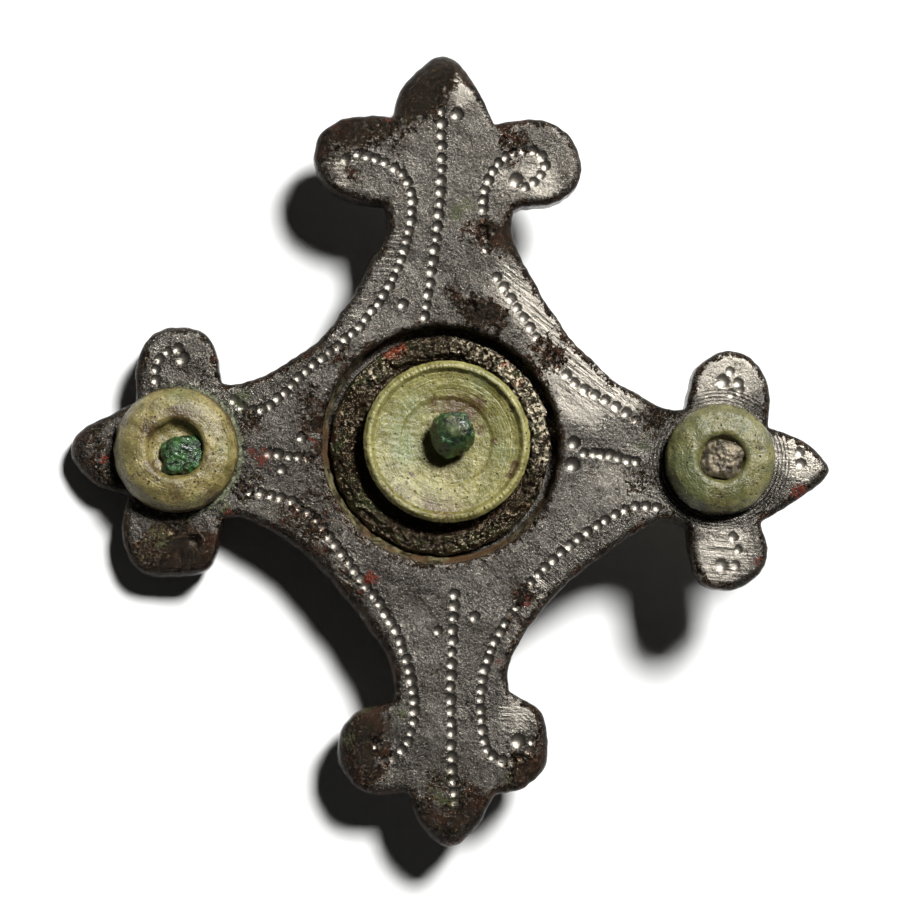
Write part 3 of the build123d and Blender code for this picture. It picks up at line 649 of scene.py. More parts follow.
def crumbs_round_button(spots):
    """How thickly corrosion is crusted on the plate: a bell curve across the left button's foot line, stronger
    on its right side."""
    foot_line, width = 4.2, 0.3
    x, y = spots[:, 0] - left_middle[0], spots[:, 1] - left_middle[1]
    right_side = np.clip(0.65 + 0.5 * np.cos(np.arctan2(y, x) - 0.1), 0.1, 1)
    return bell(np.hypot(x, y) - foot_line, width) * right_side


def face_height(spots, gap):
    """The face's height: level, less a quarter ellipse where it rounds off to the edge, more rounded where the
    plate is worn, plus soft unevenness, less the dents, each a bowl 1 - (r / R)^2 deep with a faint lip."""
    worn = np.clip(patches(spots, ROUNDER), 0, 1.2)
    width, drop = 0.55 + 0.95 * worn, 0.42 + 0.7 * worn
    short = 1 - np.clip(gap / width, 0, 1)
    height = face - drop * (1 - np.sqrt(1 - short**2))
    height += 0.03 * ripple(spots, 7, 21) + 0.008 * ripple(spots, 1.7, 22) + 0.004 * ripple(spots, 0.6, 23)
    height += crumbs_round_button(spots) * (0.05 + 0.07 * ripple(spots, 0.45, 24))
    far, dot = nearest(spots, dots)
    share = far / dot_radius[dot]
    height -= dot_depth[dot] * np.clip(1 - share**2, 0, 1)
    return height + 0.014 * bell(share - 1.13, 0.13)


def honeycomb(step, reach=28.0):
    """Points of a honeycomb over the whole plate, each moved a little so that no line of them shows."""
    rows, columns = np.arange(-reach, reach, step * sqrt(0.75)), np.arange(-reach, reach, step)
    row, column = np.meshgrid(rows, columns, indexing="ij")
    column = column + step / 2 * (np.arange(len(column)) % 2)[:, None]
    spots = np.stack([column.ravel(), row.ravel()], axis=1)
    return spots + np.random.default_rng(5).uniform(-0.16, 0.16, spots.shape) * step


def plate_wall():
    """The plate's edge: rows of points carried round it, up the rim's profile and on to the face."""
    normal = outwards(edge_loop)
    rows = []
    for inset, height in RIM:
        rows.append(np.column_stack([edge_loop - normal * inset, np.full(len(edge_loop), height)]))
    for inset in FACE_INSETS:
        loop = edge_loop - normal * inset
        rows.append(np.column_stack([loop, face_height(loop, np.full(len(loop), inset - FACE_INSETS[0]))]))
    return rows


def plate_face(edge, lip):
    """The face between the wall's last row and the recess's lip: a net of points, finer round each dent, whose
    heights are worked out from the point and its gap to the edge."""
    ground = honeycomb(0.17)
    ground = ground[np.linalg.norm(ground, axis=1) > lip_radius + 0.1]
    ground = ground[edge_gap(ground) > FACE_INSETS[-1] + 0.09]
    far, dot = nearest(ground, dots)
    ground = ground[far > dot_radius[dot] * 1.38]
    rings = np.vstack([share * unit(np.arange(many) * 2 * pi / many) for share, many in DENT_RINGS])
    bowls = (dots[:, None] + dot_radius[:, None, None] * rings).reshape(-1, 2)
    bowls = bowls[nearest(bowls, dots)[1] == np.repeat(np.arange(len(dots)), len(rings))]
    bowls = bowls[edge_gap(bowls) > FACE_INSETS[-1] + 0.05]
    bowls = bowls[np.linalg.norm(bowls, axis=1) > lip_radius + 0.05]
    spots, faces = net_between(edge[:, :2], lip, np.vstack([ground, bowls]))
    heights = face_height(spots, edge_gap(spots) - FACE_INSETS[0])
    heights[:len(edge)] = edge[:, 2]
    return np.column_stack([spots, heights]), faces


def plate_recess(turn, lip_height):
    """The recess: its lip, its wall, which leans in on its lower left, and its floor, all a little rough."""
    lean = 0.62 * bell(turn - radians(238), radians(66))
    rows = []
    for radius, down in RECESS:
        leaning = lean * np.clip(down / 1.25, 0, 1) * (radius > 7)
        ring = (radius - leaning)[:, None] * unit(turn)
        height = lip_height * (1 - down / recess_depth) + (face - recess_depth) * down / recess_depth
        if down and radius:
            rough = 0.035 * ripple(np.column_stack([ring, height]), 0.9, 31)
            ring = ring * (1 + rough / radius)[:, None]
        rows.append(np.column_stack([ring, height]))
    return np.vstack(rows), grid_faces(len(rows), len(turn))


def plate_back():
    """The back: level, with a coarser net and a faint ripple."""
    inset = RIM[0][0]
    loop = edge_loop - outwards(edge_loop) * inset
    ground = honeycomb(0.7)
    spots, faces = net_between(loop, loop[:0], ground[edge_gap(ground) > inset + 0.3])
    height = np.zeros(len(spots))
    height[len(loop):] = 0.03 * ripple(spots[len(loop):], 3.0, 41)
    return np.column_stack([spots, height]), faces[:, ::-1]


def plate_masks(points):
    """Where each part of the plate's finish shows: its soft patches, the stained strip that shows between the
    recess's wall and the ring, the gap to the edge, the crumbs, the recess's lip and the dents."""
    spots, height = points[:, :2], points[:, 2]
    radius = np.hypot(*spots.T)
    far, dot = nearest(spots, dots)
    return {
        **soft_masks(points, PLATE_PATCHES),
        "pit": np.exp(-(((radius - 7.45) / 0.55) ** 4)) * (height > 1.02) * (height < 2.3),
        "gap": np.clip(edge_gap(spots), 0, 3),
        "crumbs": crumbs_round_button(points),
        "lip": bell(radius - lip_radius, 0.3) * (height > 2.2),
        "dent": np.clip(1 - far / dot_radius[dot], 0, 1) * (height > 1.5),
    }


def plate():
    """The cast cross, of its wall, face, recess and back."""
    rows = plate_wall()
    turn = full_turn(420)
    top, top_faces = plate_face(rows[-1], lip_radius * unit(turn))
    lip_height = top[len(edge_loop):len(edge_loop) + len(turn), 2]
    wall = np.vstack(rows), grid_faces(len(rows), len(edge_loop))
    points, faces = joined(wall, (top, top_faces), plate_recess(turn, lip_height), plate_back())
    make_piece("plate_cast", points, faces, worn_tin, "plate", plate_masks(points))


def hinge_lug():
    """The lug behind the top arm: a boxy section carried once round the pin's eye.  Its outer radius is the
    round end's, then that of the flank's tangent line, and at most what reaches into the plate."""
    stations, around = 160, 44
    reach_in, reach_out, flank_turn, root, half_thick = 1.03, 2.0, 0.30, 3.15, 0.75
    turn = full_turn(stations)[:, None]
    rise = np.arctan2(np.sin(turn), np.abs(np.cos(turn)))
    flank = reach_out / np.cos(np.maximum(0, rise - flank_turn))
    outer = np.minimum(flank, root / np.maximum(np.sin(turn), 0.01))
    along, across = boxy(around, 7)
    radius = (outer + reach_in) / 2 + (outer - reach_in) / 2 * along
    x = pin_x + half_thick * across + 0 * turn
    points = np.stack([x, lug_y + radius * np.cos(turn), pivot_height + radius * np.sin(turn)], axis=-1)
    points += 0.03 * ripple(points, 1.2, 51)[..., None]
    faces = grid_faces(stations, around, wrap_rows=True)
    make_piece("hinge_lug", points.reshape(-1, 3), [faces], dark_bronze, "plate")


def catch():
    """The catch behind the bottom arm: a strip's boxy section carried along a J, down the fin and round the
    trough, and drawn together at both ends."""
    wall, trough, around, end_rows = 0.9, 1.02, 60, 9
    bend, fin = trough * unit(np.linspace(-pi, 0, 40)), np.linspace(0.08, -trough_height + 0.2, 14)
    line = np.vstack([bend, np.column_stack([np.full(len(fin), trough), fin])])
    way = ways_along(line)
    swing = np.linspace(0, pi / 2, end_rows)[::-1]
    starts = line[0] - way[0] * (wall / 2 * np.sin(swing))[:, None]
    ends = line[-1] + way[-1] * (wall / 2 * np.sin(swing[::-1]))[:, None]
    line = np.vstack([starts, line[1:-1], ends])
    way = np.vstack([np.repeat(way[:1], end_rows, axis=0), way[1:-1], np.repeat(way[-1:], end_rows, axis=0)])
    share = np.r_[np.cos(swing), np.ones(len(line) - 2 * end_rows), np.cos(swing[::-1])]
    thick = share[:, None] * wall / 2
    across, along = boxy(around, 8)
    x = pin_x + line[:, :1] + way[:, 1:] * thick * across
    z = trough_height + line[:, 1:] - way[:, :1] * thick * across
    y = catch_y - catch_length / 2 + (catch_length / 2 - (wall / 2 - thick)) * along
    points = np.stack([x, y, z], axis=-1)
    points += 0.025 * ripple(points, 1.0, 61)[..., None] * (thick > 0.05)[..., None]
    faces = grid_faces(len(line), around)
    make_piece("catch", points.reshape(-1, 3), [faces], dark_bronze, "plate")


def pin():
    """The pin: a round wire carried along its path, from its point up the shank, through a smooth bend and once
    round the hinge, thinner towards the point and drawn together at both ends."""
    around, eye, end_round = 28, 1.75, 0.3
    hinge = np.array([pin_x, lug_y, pivot_height])
    tip = np.array([pin_x, catch_y - catch_length / 2, trough_height])
    down, side = (tip - hinge) / np.linalg.norm(tip - hinge), np.array([1.0, 0, 0])
    length = np.linalg.norm(tip - hinge) - eye + catch_length / 2 - 0.57
    turns = np.radians([35, 70, 110, 145, 180, 215, 250, 290, 322])
    loop = [(eye * cos(turn), eye * sin(turn)) for turn in turns]
    shank = [(length, 0), (length - 6, 0), (length / 2, 0), (7, 0), (4.4, 0), (3.0, 0.03), (2.2, 0.34)]
    line = curve_through([*shank, *loop, (1.9, -0.62)], 0.12)
    line = hinge + down * (eye + line[:, :1]) + side * line[:, 1:]
    run = run_along(line)
    radius = np.interp(run, [0, 3, 6, length - 2, run[-1]], [0.1, 0.42, 0.44, 0.58, 0.6])
    past = np.clip(1 - np.minimum(run, run[-1] - run) / end_round, 0, 1)
    radius *= np.sqrt(1 - past**2)
    way, up = ways_along(line), np.cross(side, down)
    turn = full_turn(around)[None, :, None]
    section = np.cos(turn) * np.cross(way, up)[:, None] + np.sin(turn) * up
    points = line[:, None] + radius[:, None, None] * section
    points += 0.022 * ripple(points, 1.3, 71)[..., None] * (radius > 0.05)[:, None, None]
    faces = grid_faces(len(line), around)
    make_piece("pin_wire", points.reshape(-1, 3), [faces], dark_bronze, "pin")


def seat_ring():
    """The corroded ring: a turned base whose crest is raised and eaten away in lumps."""
    profile = rounded_profile(RING, 0.12, 0.05)
    seen_from = np.where(profile[:, 1] > ring_foot + 0.1, 5.3, 7.0)
    profile = thinned(profile, profile[:, 0] > seen_from, 5)

    def eaten(turn, r, h):
        spots = np.stack([r * np.cos(turn), r * np.sin(turn), h], axis=-1)
        rim = bell(r - 6.4, 0.6) * (h > ring_foot + 0.1)
        h = h + rim * (0.06 * ripple(spots, 2.4, 81) + 0.06 * ripple(spots, 0.55, 82) - 0.03)
        return r + 0.05 * ripple(spots, 1.4, 83) * (r > 5.5), h

    points, faces = turned(profile, (0, 0), 640, 0.02, 0.25, 84, eaten)
    masks = soft_masks(points, RING_PATCHES)
    make_piece("seat_ring_crust", points, [faces], crusted_bronze, "seat_ring", masks)


def central_disc():
    """The turned bone saucer.  Its rim is milled with notches of a cosine's shape, and its dish has fine
    grooves, each a narrow bell-shaped dip at its own radius."""
    notches = 112
    profile = rounded_profile(DISC, 0.1, 0.039)
    profile = thinned(profile, profile[:, 0] > np.where(profile[:, 1] > 2.2, 1.9, 5.1), 8)

    def milled(turn, r, h):
        above = h > 2.1
        notch = bell(r - 5.08, 0.16) * (h > 2.9)
        cut = 0.02 + 0.022 * np.cos(2 * turn - 3.6) + 0.01 * np.sin(7 * turn)
        wave = np.cos(notches * turn + 0.8 * np.sin(3 * turn) + 0.5 * np.sin(11 * turn))
        h = h - notch * cut * (0.5 + 0.5 * wave)
        for radius, width, depth in DISC_GROOVES:
            bite = 0.7 + 0.5 * np.sin(turn * 2 + radius * 9) + 0.3 * np.sin(turn * 5 + radius * 4)
            h = h - above * 0.45 * depth * np.clip(bite, 0.0, None) * bell(r - radius, width)
        lean = 0.05 * np.sin(turn - 0.6) * np.clip(r / disc_radius, 0, 1)
        return r * (1.012 + 0.014 * np.cos(2 * turn)), h + lean * above

    points, faces = turned(profile, (disc_middle[0] - 0.13, disc_middle[1]), 672, 0.01, 0.6, 91, milled)
    masks = soft_masks(points, DISC_STAINS)
    make_piece("central_disc_bone", points, [faces], pale_bone, "central_disc", masks)


def button(name, replaced, finish, seed, middle, radius, height, well, grooves, stains):
    """A turned bone button: a domed ring round a shallow well.  Its turned lines are narrow bell-shaped dips,
    each with its radius, half width and depth."""
    foot, crest = button_foot - 0.06, well + 0.3
    shares = [
        (radius * 0.95, 0.0), (radius, 0.12), (radius, 0.3), (radius * 0.965, 0.52),
        (0.3 * crest + 0.7 * radius, 0.81), (0.75 * crest + 0.25 * radius, 0.97), (crest, 1.01),
        (well + 0.05, 0.93), (well - 0.12, 0.7), (well - 0.5, 0.58), (0, 0.56),
    ]
    profile = rounded_profile([(0, foot)] + [(out, foot + height * rise) for out, rise in shares], 0.24, 0.04)

    def lined(turn, r, h):
        for line, width, depth in grooves:
            h = h - (h > foot + height * 0.5) * depth * bell(r - line, width)
        return r * (1 + 0.006 * np.sin(2 * turn + seed)), h + 0.03 * np.sin(turn + seed) * (h > foot + 0.3)

    points, faces = turned(profile, middle, 320, 0.022, 1.1, seed, lined)
    # Painted shade: the brown stain is raised toward the foot on the outer side, darkening the button next to
    # the plate
    low = np.clip((foot + height * 0.62 - points[:, 2]) / 0.6, 0, 1)
    low *= np.hypot(*(points[:, :2] - middle).T) > radius * 0.8
    masks = soft_masks(points, stains)
    masks["brown"] += 0.8 * low
    make_piece(name, points, [faces], finish, replaced, masks)


def rivet(name, replaced, finish, seed, middle, seat, size, turn, drift, foot_share, squareness, worn):
    """A rivet: its head is a hammered boxy dome whose radius at angle u is that of a rounded square, led up a
    profile and over to its top, and its tail behind the plate is a flat turned knob."""
    width, length, height = size
    around = 120
    shares = rounded_profile([
        (0, -0.02), (foot_share, -0.02), (foot_share + 0.03, 0.15), (1.0, 0.42), (0.98, 0.6), (0.78, 0.88),
        (0.45, 0.98), (0, 1.0),
    ], 0.12, 0.02)
    angle = full_turn(around)[None, :]
    sides = (np.abs(np.cos(angle) * 2 / width), np.abs(np.sin(angle) * 2 / length))
    plan = (sides[0] ** squareness + sides[1] ** squareness) ** (-1 / squareness)
    out, rise = shares[:, :1], shares[:, 1:]
    x, y = out * plan * np.cos(angle), out * plan * np.sin(angle)
    aim = radians(turn)
    spots = np.stack([
        middle[0] + x * cos(aim) - y * sin(aim) + drift[0] * rise,
        middle[1] + x * sin(aim) + y * cos(aim) + drift[1] * rise,
        seat + height * rise + 0 * x,
    ], axis=-1)
    hammered = 0.07 * ripple(spots, 1.7, seed) + 0.034 * ripple(spots, 0.5, seed + 1)
    away = spots - np.array([middle[0], middle[1], seat + height * 0.3])
    away /= np.linalg.norm(away, axis=-1)[..., None]
    spots = spots + away * hammered[..., None] * (out > 0)[..., None]
    spots[0], spots[-1] = spots[0].mean(axis=0), spots[-1].mean(axis=0)
    head = spots.reshape(-1, 3), grid_faces(len(shares), around)
    knob = [(0, 0.2), (0.7, 0.2), (0.7, -0.03), (1.08, -0.05), (1.15, -0.2), (1.0, -0.44), (0, -0.5)]
    tail = turned(rounded_profile(knob, 0.1, 0.04), middle, 96, 0.03, 0.8, seed + 2)
    points, faces = joined(head, tail)
    top = worn * np.clip((points[:, 2] - seat) / height, 0, 1) ** 3
    make_piece(name, points, faces, finish, replaced, {"top": top})


class Value:
    """A node's output, with the arithmetic of the finishes, in which each operation adds a node."""

    def __init__(self, owner, socket):
        self.owner, self.socket = owner, socket

    def __add__(self, other):
        return self.owner.math("ADD", self, other)

    def __sub__(self, other):
        return self.owner.math("SUBTRACT", self, other)

    def __mul__(self, other):
        return self.owner.math("MULTIPLY", self, other)

    def swing(self, by=1.0):
        """A noise moved down so that it swings round 0, times a factor."""
        moved = self - 0.5
        return moved if by == 1 else moved * by

    def step(self, low, high, to_low=0.0, to_high=1.0):
        """A smooth step between two levels of the value."""
        inputs = {"Value": self, "From Min": low, "From Max": high, "To Min": to_low, "To Max": to_high}
        return self.owner.node("ShaderNodeMapRange", inputs, interpolation_type="SMOOTHSTEP")


class Finish:
    """A procedural finish: a material, and short calls that each add a node and wire it up."""

    def __init__(self, name):
        self.material = bpy.data.materials.new(name)
        self.material.use_nodes = True
        self.tree = self.material.node_tree
        self.shader = self.tree.nodes["Principled BSDF"]

    def feed(self, socket, value):
        """Sets a socket to a number or a colour, or wires it to another node's output."""
        if isinstance(value, Value):
            self.tree.links.new(value.socket, socket)
        else:
            socket.default_value = value

    def node(self, kind, inputs, output=0, **settings):
        """A new node's output."""
        made = self.tree.nodes.new(kind)
        for setting, value in settings.items():
            setattr(made, setting, value)
        for socket, value in inputs.items():
            self.feed(made.inputs[socket], value)
        return Value(self, made.outputs[output])

    def math(self, operation, *values):
        return self.node("ShaderNodeMath", dict(enumerate(values)), operation=operation)

    def place(self):
        """Coordinates in the plate's frame, in millimetres."""
        return self.node("ShaderNodeAttribute", {}, "Vector", attribute_name="place")

    def mask(self, name):
        return self.node("ShaderNodeAttribute", {}, "Fac", attribute_name=name)

    def noise(self, scale, detail=3, roughness=0.6, distortion=0, at=None):
        inputs = {"Scale": scale, "Detail": detail, "Roughness": roughness, "Distortion": distortion}
        return self.node("ShaderNodeTexNoise", {"Vector": at or self.place(), **inputs})

    def cells(self, scale):
        """The distance to the nearest of many scattered points."""
        return self.node("ShaderNodeTexVoronoi", {"Vector": self.place(), "Scale": scale}, "Distance")

    def stretched(self, turn, along, across):
        """Coordinates turned about the plate's z and drawn out along that way, for strokes that run one way."""
        inputs = {"Vector": self.place(), "Rotation": (0, 0, radians(turn)), "Scale": (along, across, across)}
        return self.node("ShaderNodeMapping", inputs, vector_type="TEXTURE")

    def along_x(self, value):
        """Coordinates whose x is a value, for a noise that runs in bands."""
        return self.node("ShaderNodeCombineXYZ", {"X": value})

    def radius_round(self, middle):
        """How far each point lies from an axis along the plate's z."""
        shift = (-middle[0], -middle[1], 0)
        centred = self.node("ShaderNodeMapping", {"Vector": self.place(), "Location": shift})
        flat = self.node("ShaderNodeVectorMath", {0: centred, 1: (1, 1, 0)}, operation="MULTIPLY")
        return self.node("ShaderNodeVectorMath", {0: flat}, "Value", operation="LENGTH")

    def is_colour(self, value):
        return isinstance(value, tuple) or (isinstance(value, Value) and value.socket.type == "RGBA")

    def blend(self, share, one, other):
        """Two colours or two numbers, blended by a share."""
        if self.is_colour(one) or self.is_colour(other):
            one, other = ((*value, 1) if isinstance(value, tuple) else value for value in (one, other))
            return self.node("ShaderNodeMix", {0: share, 6: one, 7: other}, 2, data_type="RGBA")
        return self.node("ShaderNodeMix", {0: share, 2: one, 3: other}, data_type="FLOAT")

    def layered(self, colour, *layers):
        """A colour with others laid over it one after the other, each by its share."""
        for share, other in layers:
            colour = self.blend(share, colour, other)
        return colour

    def finish(self, colour, roughness, metallic, relief, depth):
        """Wires the shader: its colour, roughness and metal share, and a relief so many millimetres deep."""
        raised = {"Height": relief, "Strength": 1.0, "Distance": depth / 1000}
        normal = self.node("ShaderNodeBump", raised, "Normal")
        inputs = {"Base Color": colour, "Roughness": roughness, "Metallic": metallic, "Normal": normal}
        for socket, value in inputs.items():
            self.feed(self.shader.inputs[socket], value)
        return self.material


def worn_tin_finish():
    """Tin worn through to dark bronze along the edges and in patches, with red and green corrosion, grains and
    fine scratches, pale specks painted in as glints, and painted light and shade: lighter tin mostly toward the
    upper right, darker tin mostly on the left and lower parts."""
    tin = Finish("worn_tin")
    mask, blend = tin.mask, tin.blend
    grain, cloud, drift = tin.noise(4.5, 4, 0.7), tin.noise(1.1, 5, 0.65), tin.noise(0.35, 4, 0.6)
    fine, sparks, scabs = tin.noise(8, 3, 0.75), tin.noise(10, 2, 0.6), tin.noise(2.0, 4, 0.7)
    level, slanting, crossing = [
        tin.noise(1.0, 3, 0.6, at=tin.stretched(*way))
        for way in ((-4, 2.4, 0.17), (-38, 2.4, 0.17), (24, 2.6, 0.10))
    ]

    # How bare: the patches, the recess's lip and the worn edge, torn by the noises
    ragged = cloud.swing(1.8) + grain.swing(2.5)
    worn = mask("bare") + mask("lip") * 0.65 + mask("gap").step(0.75, 0.12) * 0.95
    torn = (ragged + tin.noise(2.6, 3, 0.7).swing(2.4)) * worn.step(0.0, 0.6, 0.8, 1.5)
    bare = (worn + torn).step(0.54, 0.7)

    # The other patches, torn too: painted light, red cuprite, green corrosion, crumbs and file strokes
    painted_light = (mask("painted_light") + cloud.swing() + grain.swing()).step(0.3, 1.1)
    rust = (mask("rust") + ragged).step(0.62, 0.9)
    green = (mask("green") + ragged).step(0.5, 0.9)
    crumbs = (mask("crumbs") + grain.swing(3.0)).step(0.5, 0.85)
    filed = level.swing() * mask("level_strokes") + slanting.swing() * mask("slanting_strokes")

    # Turned lines on the plate, 0.24 mm apart, in a zone round the right button's foot
    radius = tin.radius_round(right_middle)
    zone = tin.math("ABSOLUTE", radius - 4.22).step(0.46, 0.3)
    wave = tin.math("SINE", radius * (2 * pi / 0.24)).step(-0.1, 0.8)
    turned_lines = zone * wave * cloud.step(0.4, 0.6, 0.5, 1.0)

    grey = tin.layered(
        (0.045, 0.04, 0.0335),
        (drift.step(0.38, 0.62), (0.07, 0.064, 0.055)),
        # painted shade: darker tin where the painted shade mask is
        ((mask("painted_shade") + cloud.swing()).step(0.1, 0.9, 0.0, 0.8), (0.024, 0.02, 0.015)),
        (grain.step(0.48, 0.36, 0.0, 0.8), (0.013, 0.011, 0.008)),
        # painted light: lighter tin where the painted light mask is
        (painted_light, (0.2, 0.183, 0.154)),
        # painted glints: pale specks on the tin's grains
        (sparks.step(0.57, 0.7, 0.0, 0.6), (0.3, 0.275, 0.235)),
        (filed.step(0.02, 0.1, 0.0, 0.6), (0.25, 0.23, 0.195)),
        (filed.step(-0.02, -0.1, 0.0, 0.6), (0.03, 0.026, 0.021)),
        (mask("dent").step(0.0, 0.4) * 0.5, (0.23, 0.208, 0.175)),
        (turned_lines * 0.75, (0.009, 0.008, 0.006)),
    )
    brown = tin.layered(
        (0.0018, 0.0014, 0.001),
        ((grain + scabs.swing()).step(0.36, 0.66), (0.0185, 0.0115, 0.0066)),
        (tin.noise(0.6, 4, 0.65).step(0.5, 0.64, 0, 0.8), (0.031, 0.0125, 0.0066)),
        ((mask("bare") + cloud.swing()).step(0.9, 1.5, 0.0, 0.6), (0.0055, 0.0045, 0.0032)),
        # painted glints: pale specks on the bare bronze
        (sparks.step(0.57, 0.67, 0.0, 0.55), (0.19, 0.145, 0.1)),
    )
    strip = tin.layered(
        (0.02, 0.014, 0.007),
        (tin.noise(1.3, 4, 0.7).step(0.4, 0.62), (0.13, 0.115, 0.06)),
        (tin.noise(0.35, 3, 0.6).step(0.48, 0.6), (0.075, 0.042, 0.021)),
    )
    colour = tin.layered(
        grey,
        (bare, brown),
        (green * 0.7, blend(grain, (0.006, 0.009, 0.004), (0.075, 0.085, 0.034))),
        (mask("pit"), strip),
        (rust, blend(grain, (0.012, 0.003, 0.002), (0.13, 0.024, 0.011))),
        (crumbs, blend(fine, (0.015, 0.018, 0.009), (0.2, 0.21, 0.13))),
    )

    tin.shader.inputs["Specular IOR Level"].default_value = 0.12
    dull = bare * 0.22 + mask("pit") + green * 0.5 + rust + crumbs
    roughness = blend(painted_light, blend(bare, 0.27, 0.17), 0.3) + fine.swing(0.2) + mask("dent") * 0.14
    relief = (grain * blend(bare, 0.95, 1.5) + fine * 0.55 + sparks * 0.25 + filed * 1.7
              + crossing.step(0.64, 0.72, 0, -0.12) + bare * scabs.swing() * 3.2)
    relief = (relief - 0.875) * mask("dent").step(0.3, 0.0, 0.35, 1.0)
    relief = relief + crumbs * 0.6 - (bare * 0.35 + turned_lines)
    return tin.finish(colour, roughness, dull.step(0.9, 0.1, 0.1, 0.85), relief, 0.057)


def dark_bronze_finish():
    """Dull brown bronze with lighter rubbed places and a little green."""
    bronze = Finish("dark_bronze")
    grain, cloud = bronze.noise(4, 5, 0.65), bronze.noise(0.7, 4)
    colour = bronze.layered(
        (0.036, 0.027, 0.02),
        (cloud.step(0.4, 0.65), (0.125, 0.096, 0.066)),
        (grain.step(0.56, 0.7), (0.08, 0.12, 0.075)),
    )
    return bronze.finish(colour, bronze.blend(grain, 0.32, 0.6), 0.7, grain + cloud, 0.04)


def crusted_bronze_finish():
    """A thick dark crust in bands round the ring, with green and red grains and pale painted glints, more and
    brighter toward the upper right and fewer on the lower left.
    """
    crust = Finish("crusted_bronze")
    lumps, grain, cloud = crust.noise(2.4, 6, 0.75), crust.noise(6, 3, 0.7), crust.noise(0.8, 4, 0.6)
    bosses, flakes = crust.noise(1.9, 2, 0.55), crust.cells(3.2)
    bands = crust.noise(1.0, 3, 0.6, at=crust.along_x(crust.radius_round((0, 0)) * 2.2 + cloud * 1.6))
    painted_shine = crust.mask("painted_glints")
    # painted glints: pale specks laid into the colour, more and brighter where the painted shine mask is high
    painted_glints = grain * 0.25 + crust.noise(3.0, 3, 0.6, 0.6) * 0.75 + painted_shine * 0.085
    colour = crust.layered(
        (0.0015, 0.0011, 0.0007),
        (lumps.step(0.46, 0.68), (0.036, 0.022, 0.0095)),
        (bands.step(0.46, 0.62, 0, 0.6), (0.026, 0.012, 0.0055)),
        (cloud.step(0.5, 0.64, 0, 0.75), crust.blend(grain, (0.002, 0.004, 0.0015), (0.045, 0.055, 0.02))),
        ((crust.mask("rust") + lumps.swing(2.5)).step(0.7, 1.0), (0.13, 0.022, 0.01)),
        (painted_glints.step(0.56, 0.66, 0.0, 0.85), crust.blend(painted_shine, (0.16, 0.125, 0.075), (0.66, 0.58, 0.42))),
    )
    crust.shader.inputs["Specular IOR Level"].default_value = 1.0
    crust.shader.inputs["Specular Tint"].default_value = (1.0, 0.84, 0.6, 1)
    relief = bosses * 1.5 + lumps * 0.5 + bands * 0.8 + flakes * 0.5
    return crust.finish(colour, crust.blend(grain, 0.08, 0.22), 0.3, relief, 0.36)


def bone_finish(name, middle, pale, stained, brown, green, gloss):
    """Turned bone: pores, holes, faint turned lines, and brown and green stains; on the buttons the brown also
    carries painted shade toward the foot.
    """
    bone = Finish(name)
    darker = {share: tuple(share * part for part in brown) for share in (0.15, 0.3, 0.4)}
    cloud, grain, pits = bone.noise(0.75, 5, 0.65), bone.noise(5, 4, 0.7), bone.noise(2.6, 4, 0.7)
    pores, rings = bone.cells(4.5), bone.noise(7.0, 3.0, 0.5, at=bone.along_x(bone.radius_round(middle)))
    ragged = cloud.swing() + grain.swing(1.8)
    holes = bone.cells(1.9).step(0.17, 0.09) * cloud.step(0.47, 0.54)
    colour = bone.layered(
        stained,
        (cloud.step(0.36, 0.64), pale),
        ((bone.mask("green") + ragged).step(0.2, 0.75), green),
        ((bone.mask("brown") + ragged).step(0.25, 0.85), brown),
        (grain.step(0.54, 0.7, 0.0, 0.7), brown),
        (pores.step(0.2, 0.08, 0.0, 0.85), darker[0.3]),
        (holes * 0.9, darker[0.15]),
        (pits.step(0.42, 0.32, 0.0, 0.85), darker[0.4]),
    )
    relief = rings * 0.45 + grain * 0.55 + pores.step(0.2, 0.06, 0, -0.7) + pits * 1.2 - holes
    return bone.finish(colour, bone.blend(grain, gloss, gloss + 0.24), 0.0, relief, 0.085)


def green_crust_finish():
    """Malachite green bronze with darker pits, pale crumbs and a worn top."""
    green = Finish("green_crust")
    lumps, grain, cloud = green.noise(1.6, 5, 0.65), green.noise(7, 4, 0.7), green.noise(0.9, 3, 0.6)
    colour = green.layered(
        (0.0015, 0.008, 0.002),
        (lumps.step(0.4, 0.62), (0.026, 0.085, 0.018)),
        (cloud.step(0.55, 0.66, 0, 0.8), (0.04, 0.03, 0.013)),
        ((green.mask("top") * 0.7 + lumps.swing()).step(0.5, 0.9, 0, 0.6), (0.13, 0.1, 0.05)),
        (grain.step(0.6, 0.74, 0, 0.7), (0.17, 0.19, 0.11)),
    )
    green.shader.inputs["Coat Weight"].default_value = 0.3
    green.shader.inputs["Coat Roughness"].default_value = 0.15
    return green.finish(colour, green.blend(grain, 0.13, 0.36), 0.1, lumps + grain * 0.8, 0.1)


def brown_rivet_finish():
    """Grey-brown bronze of the right rivet, a little green on its grains."""
    brown = Finish("brown_rivet")
    lumps, grain = brown.noise(1.8, 5, 0.65), brown.noise(7, 4, 0.7)
    colour = brown.layered(
        (0.032, 0.025, 0.017),
        (lumps.step(0.38, 0.64), (0.19, 0.155, 0.1)),
        (grain.step(0.6, 0.74, 0, 0.6), (0.09, 0.14, 0.09)),
    )
    return brown.finish(colour, brown.blend(grain, 0.15, 0.36), 0.45, lumps + grain * 0.5, 0.12)


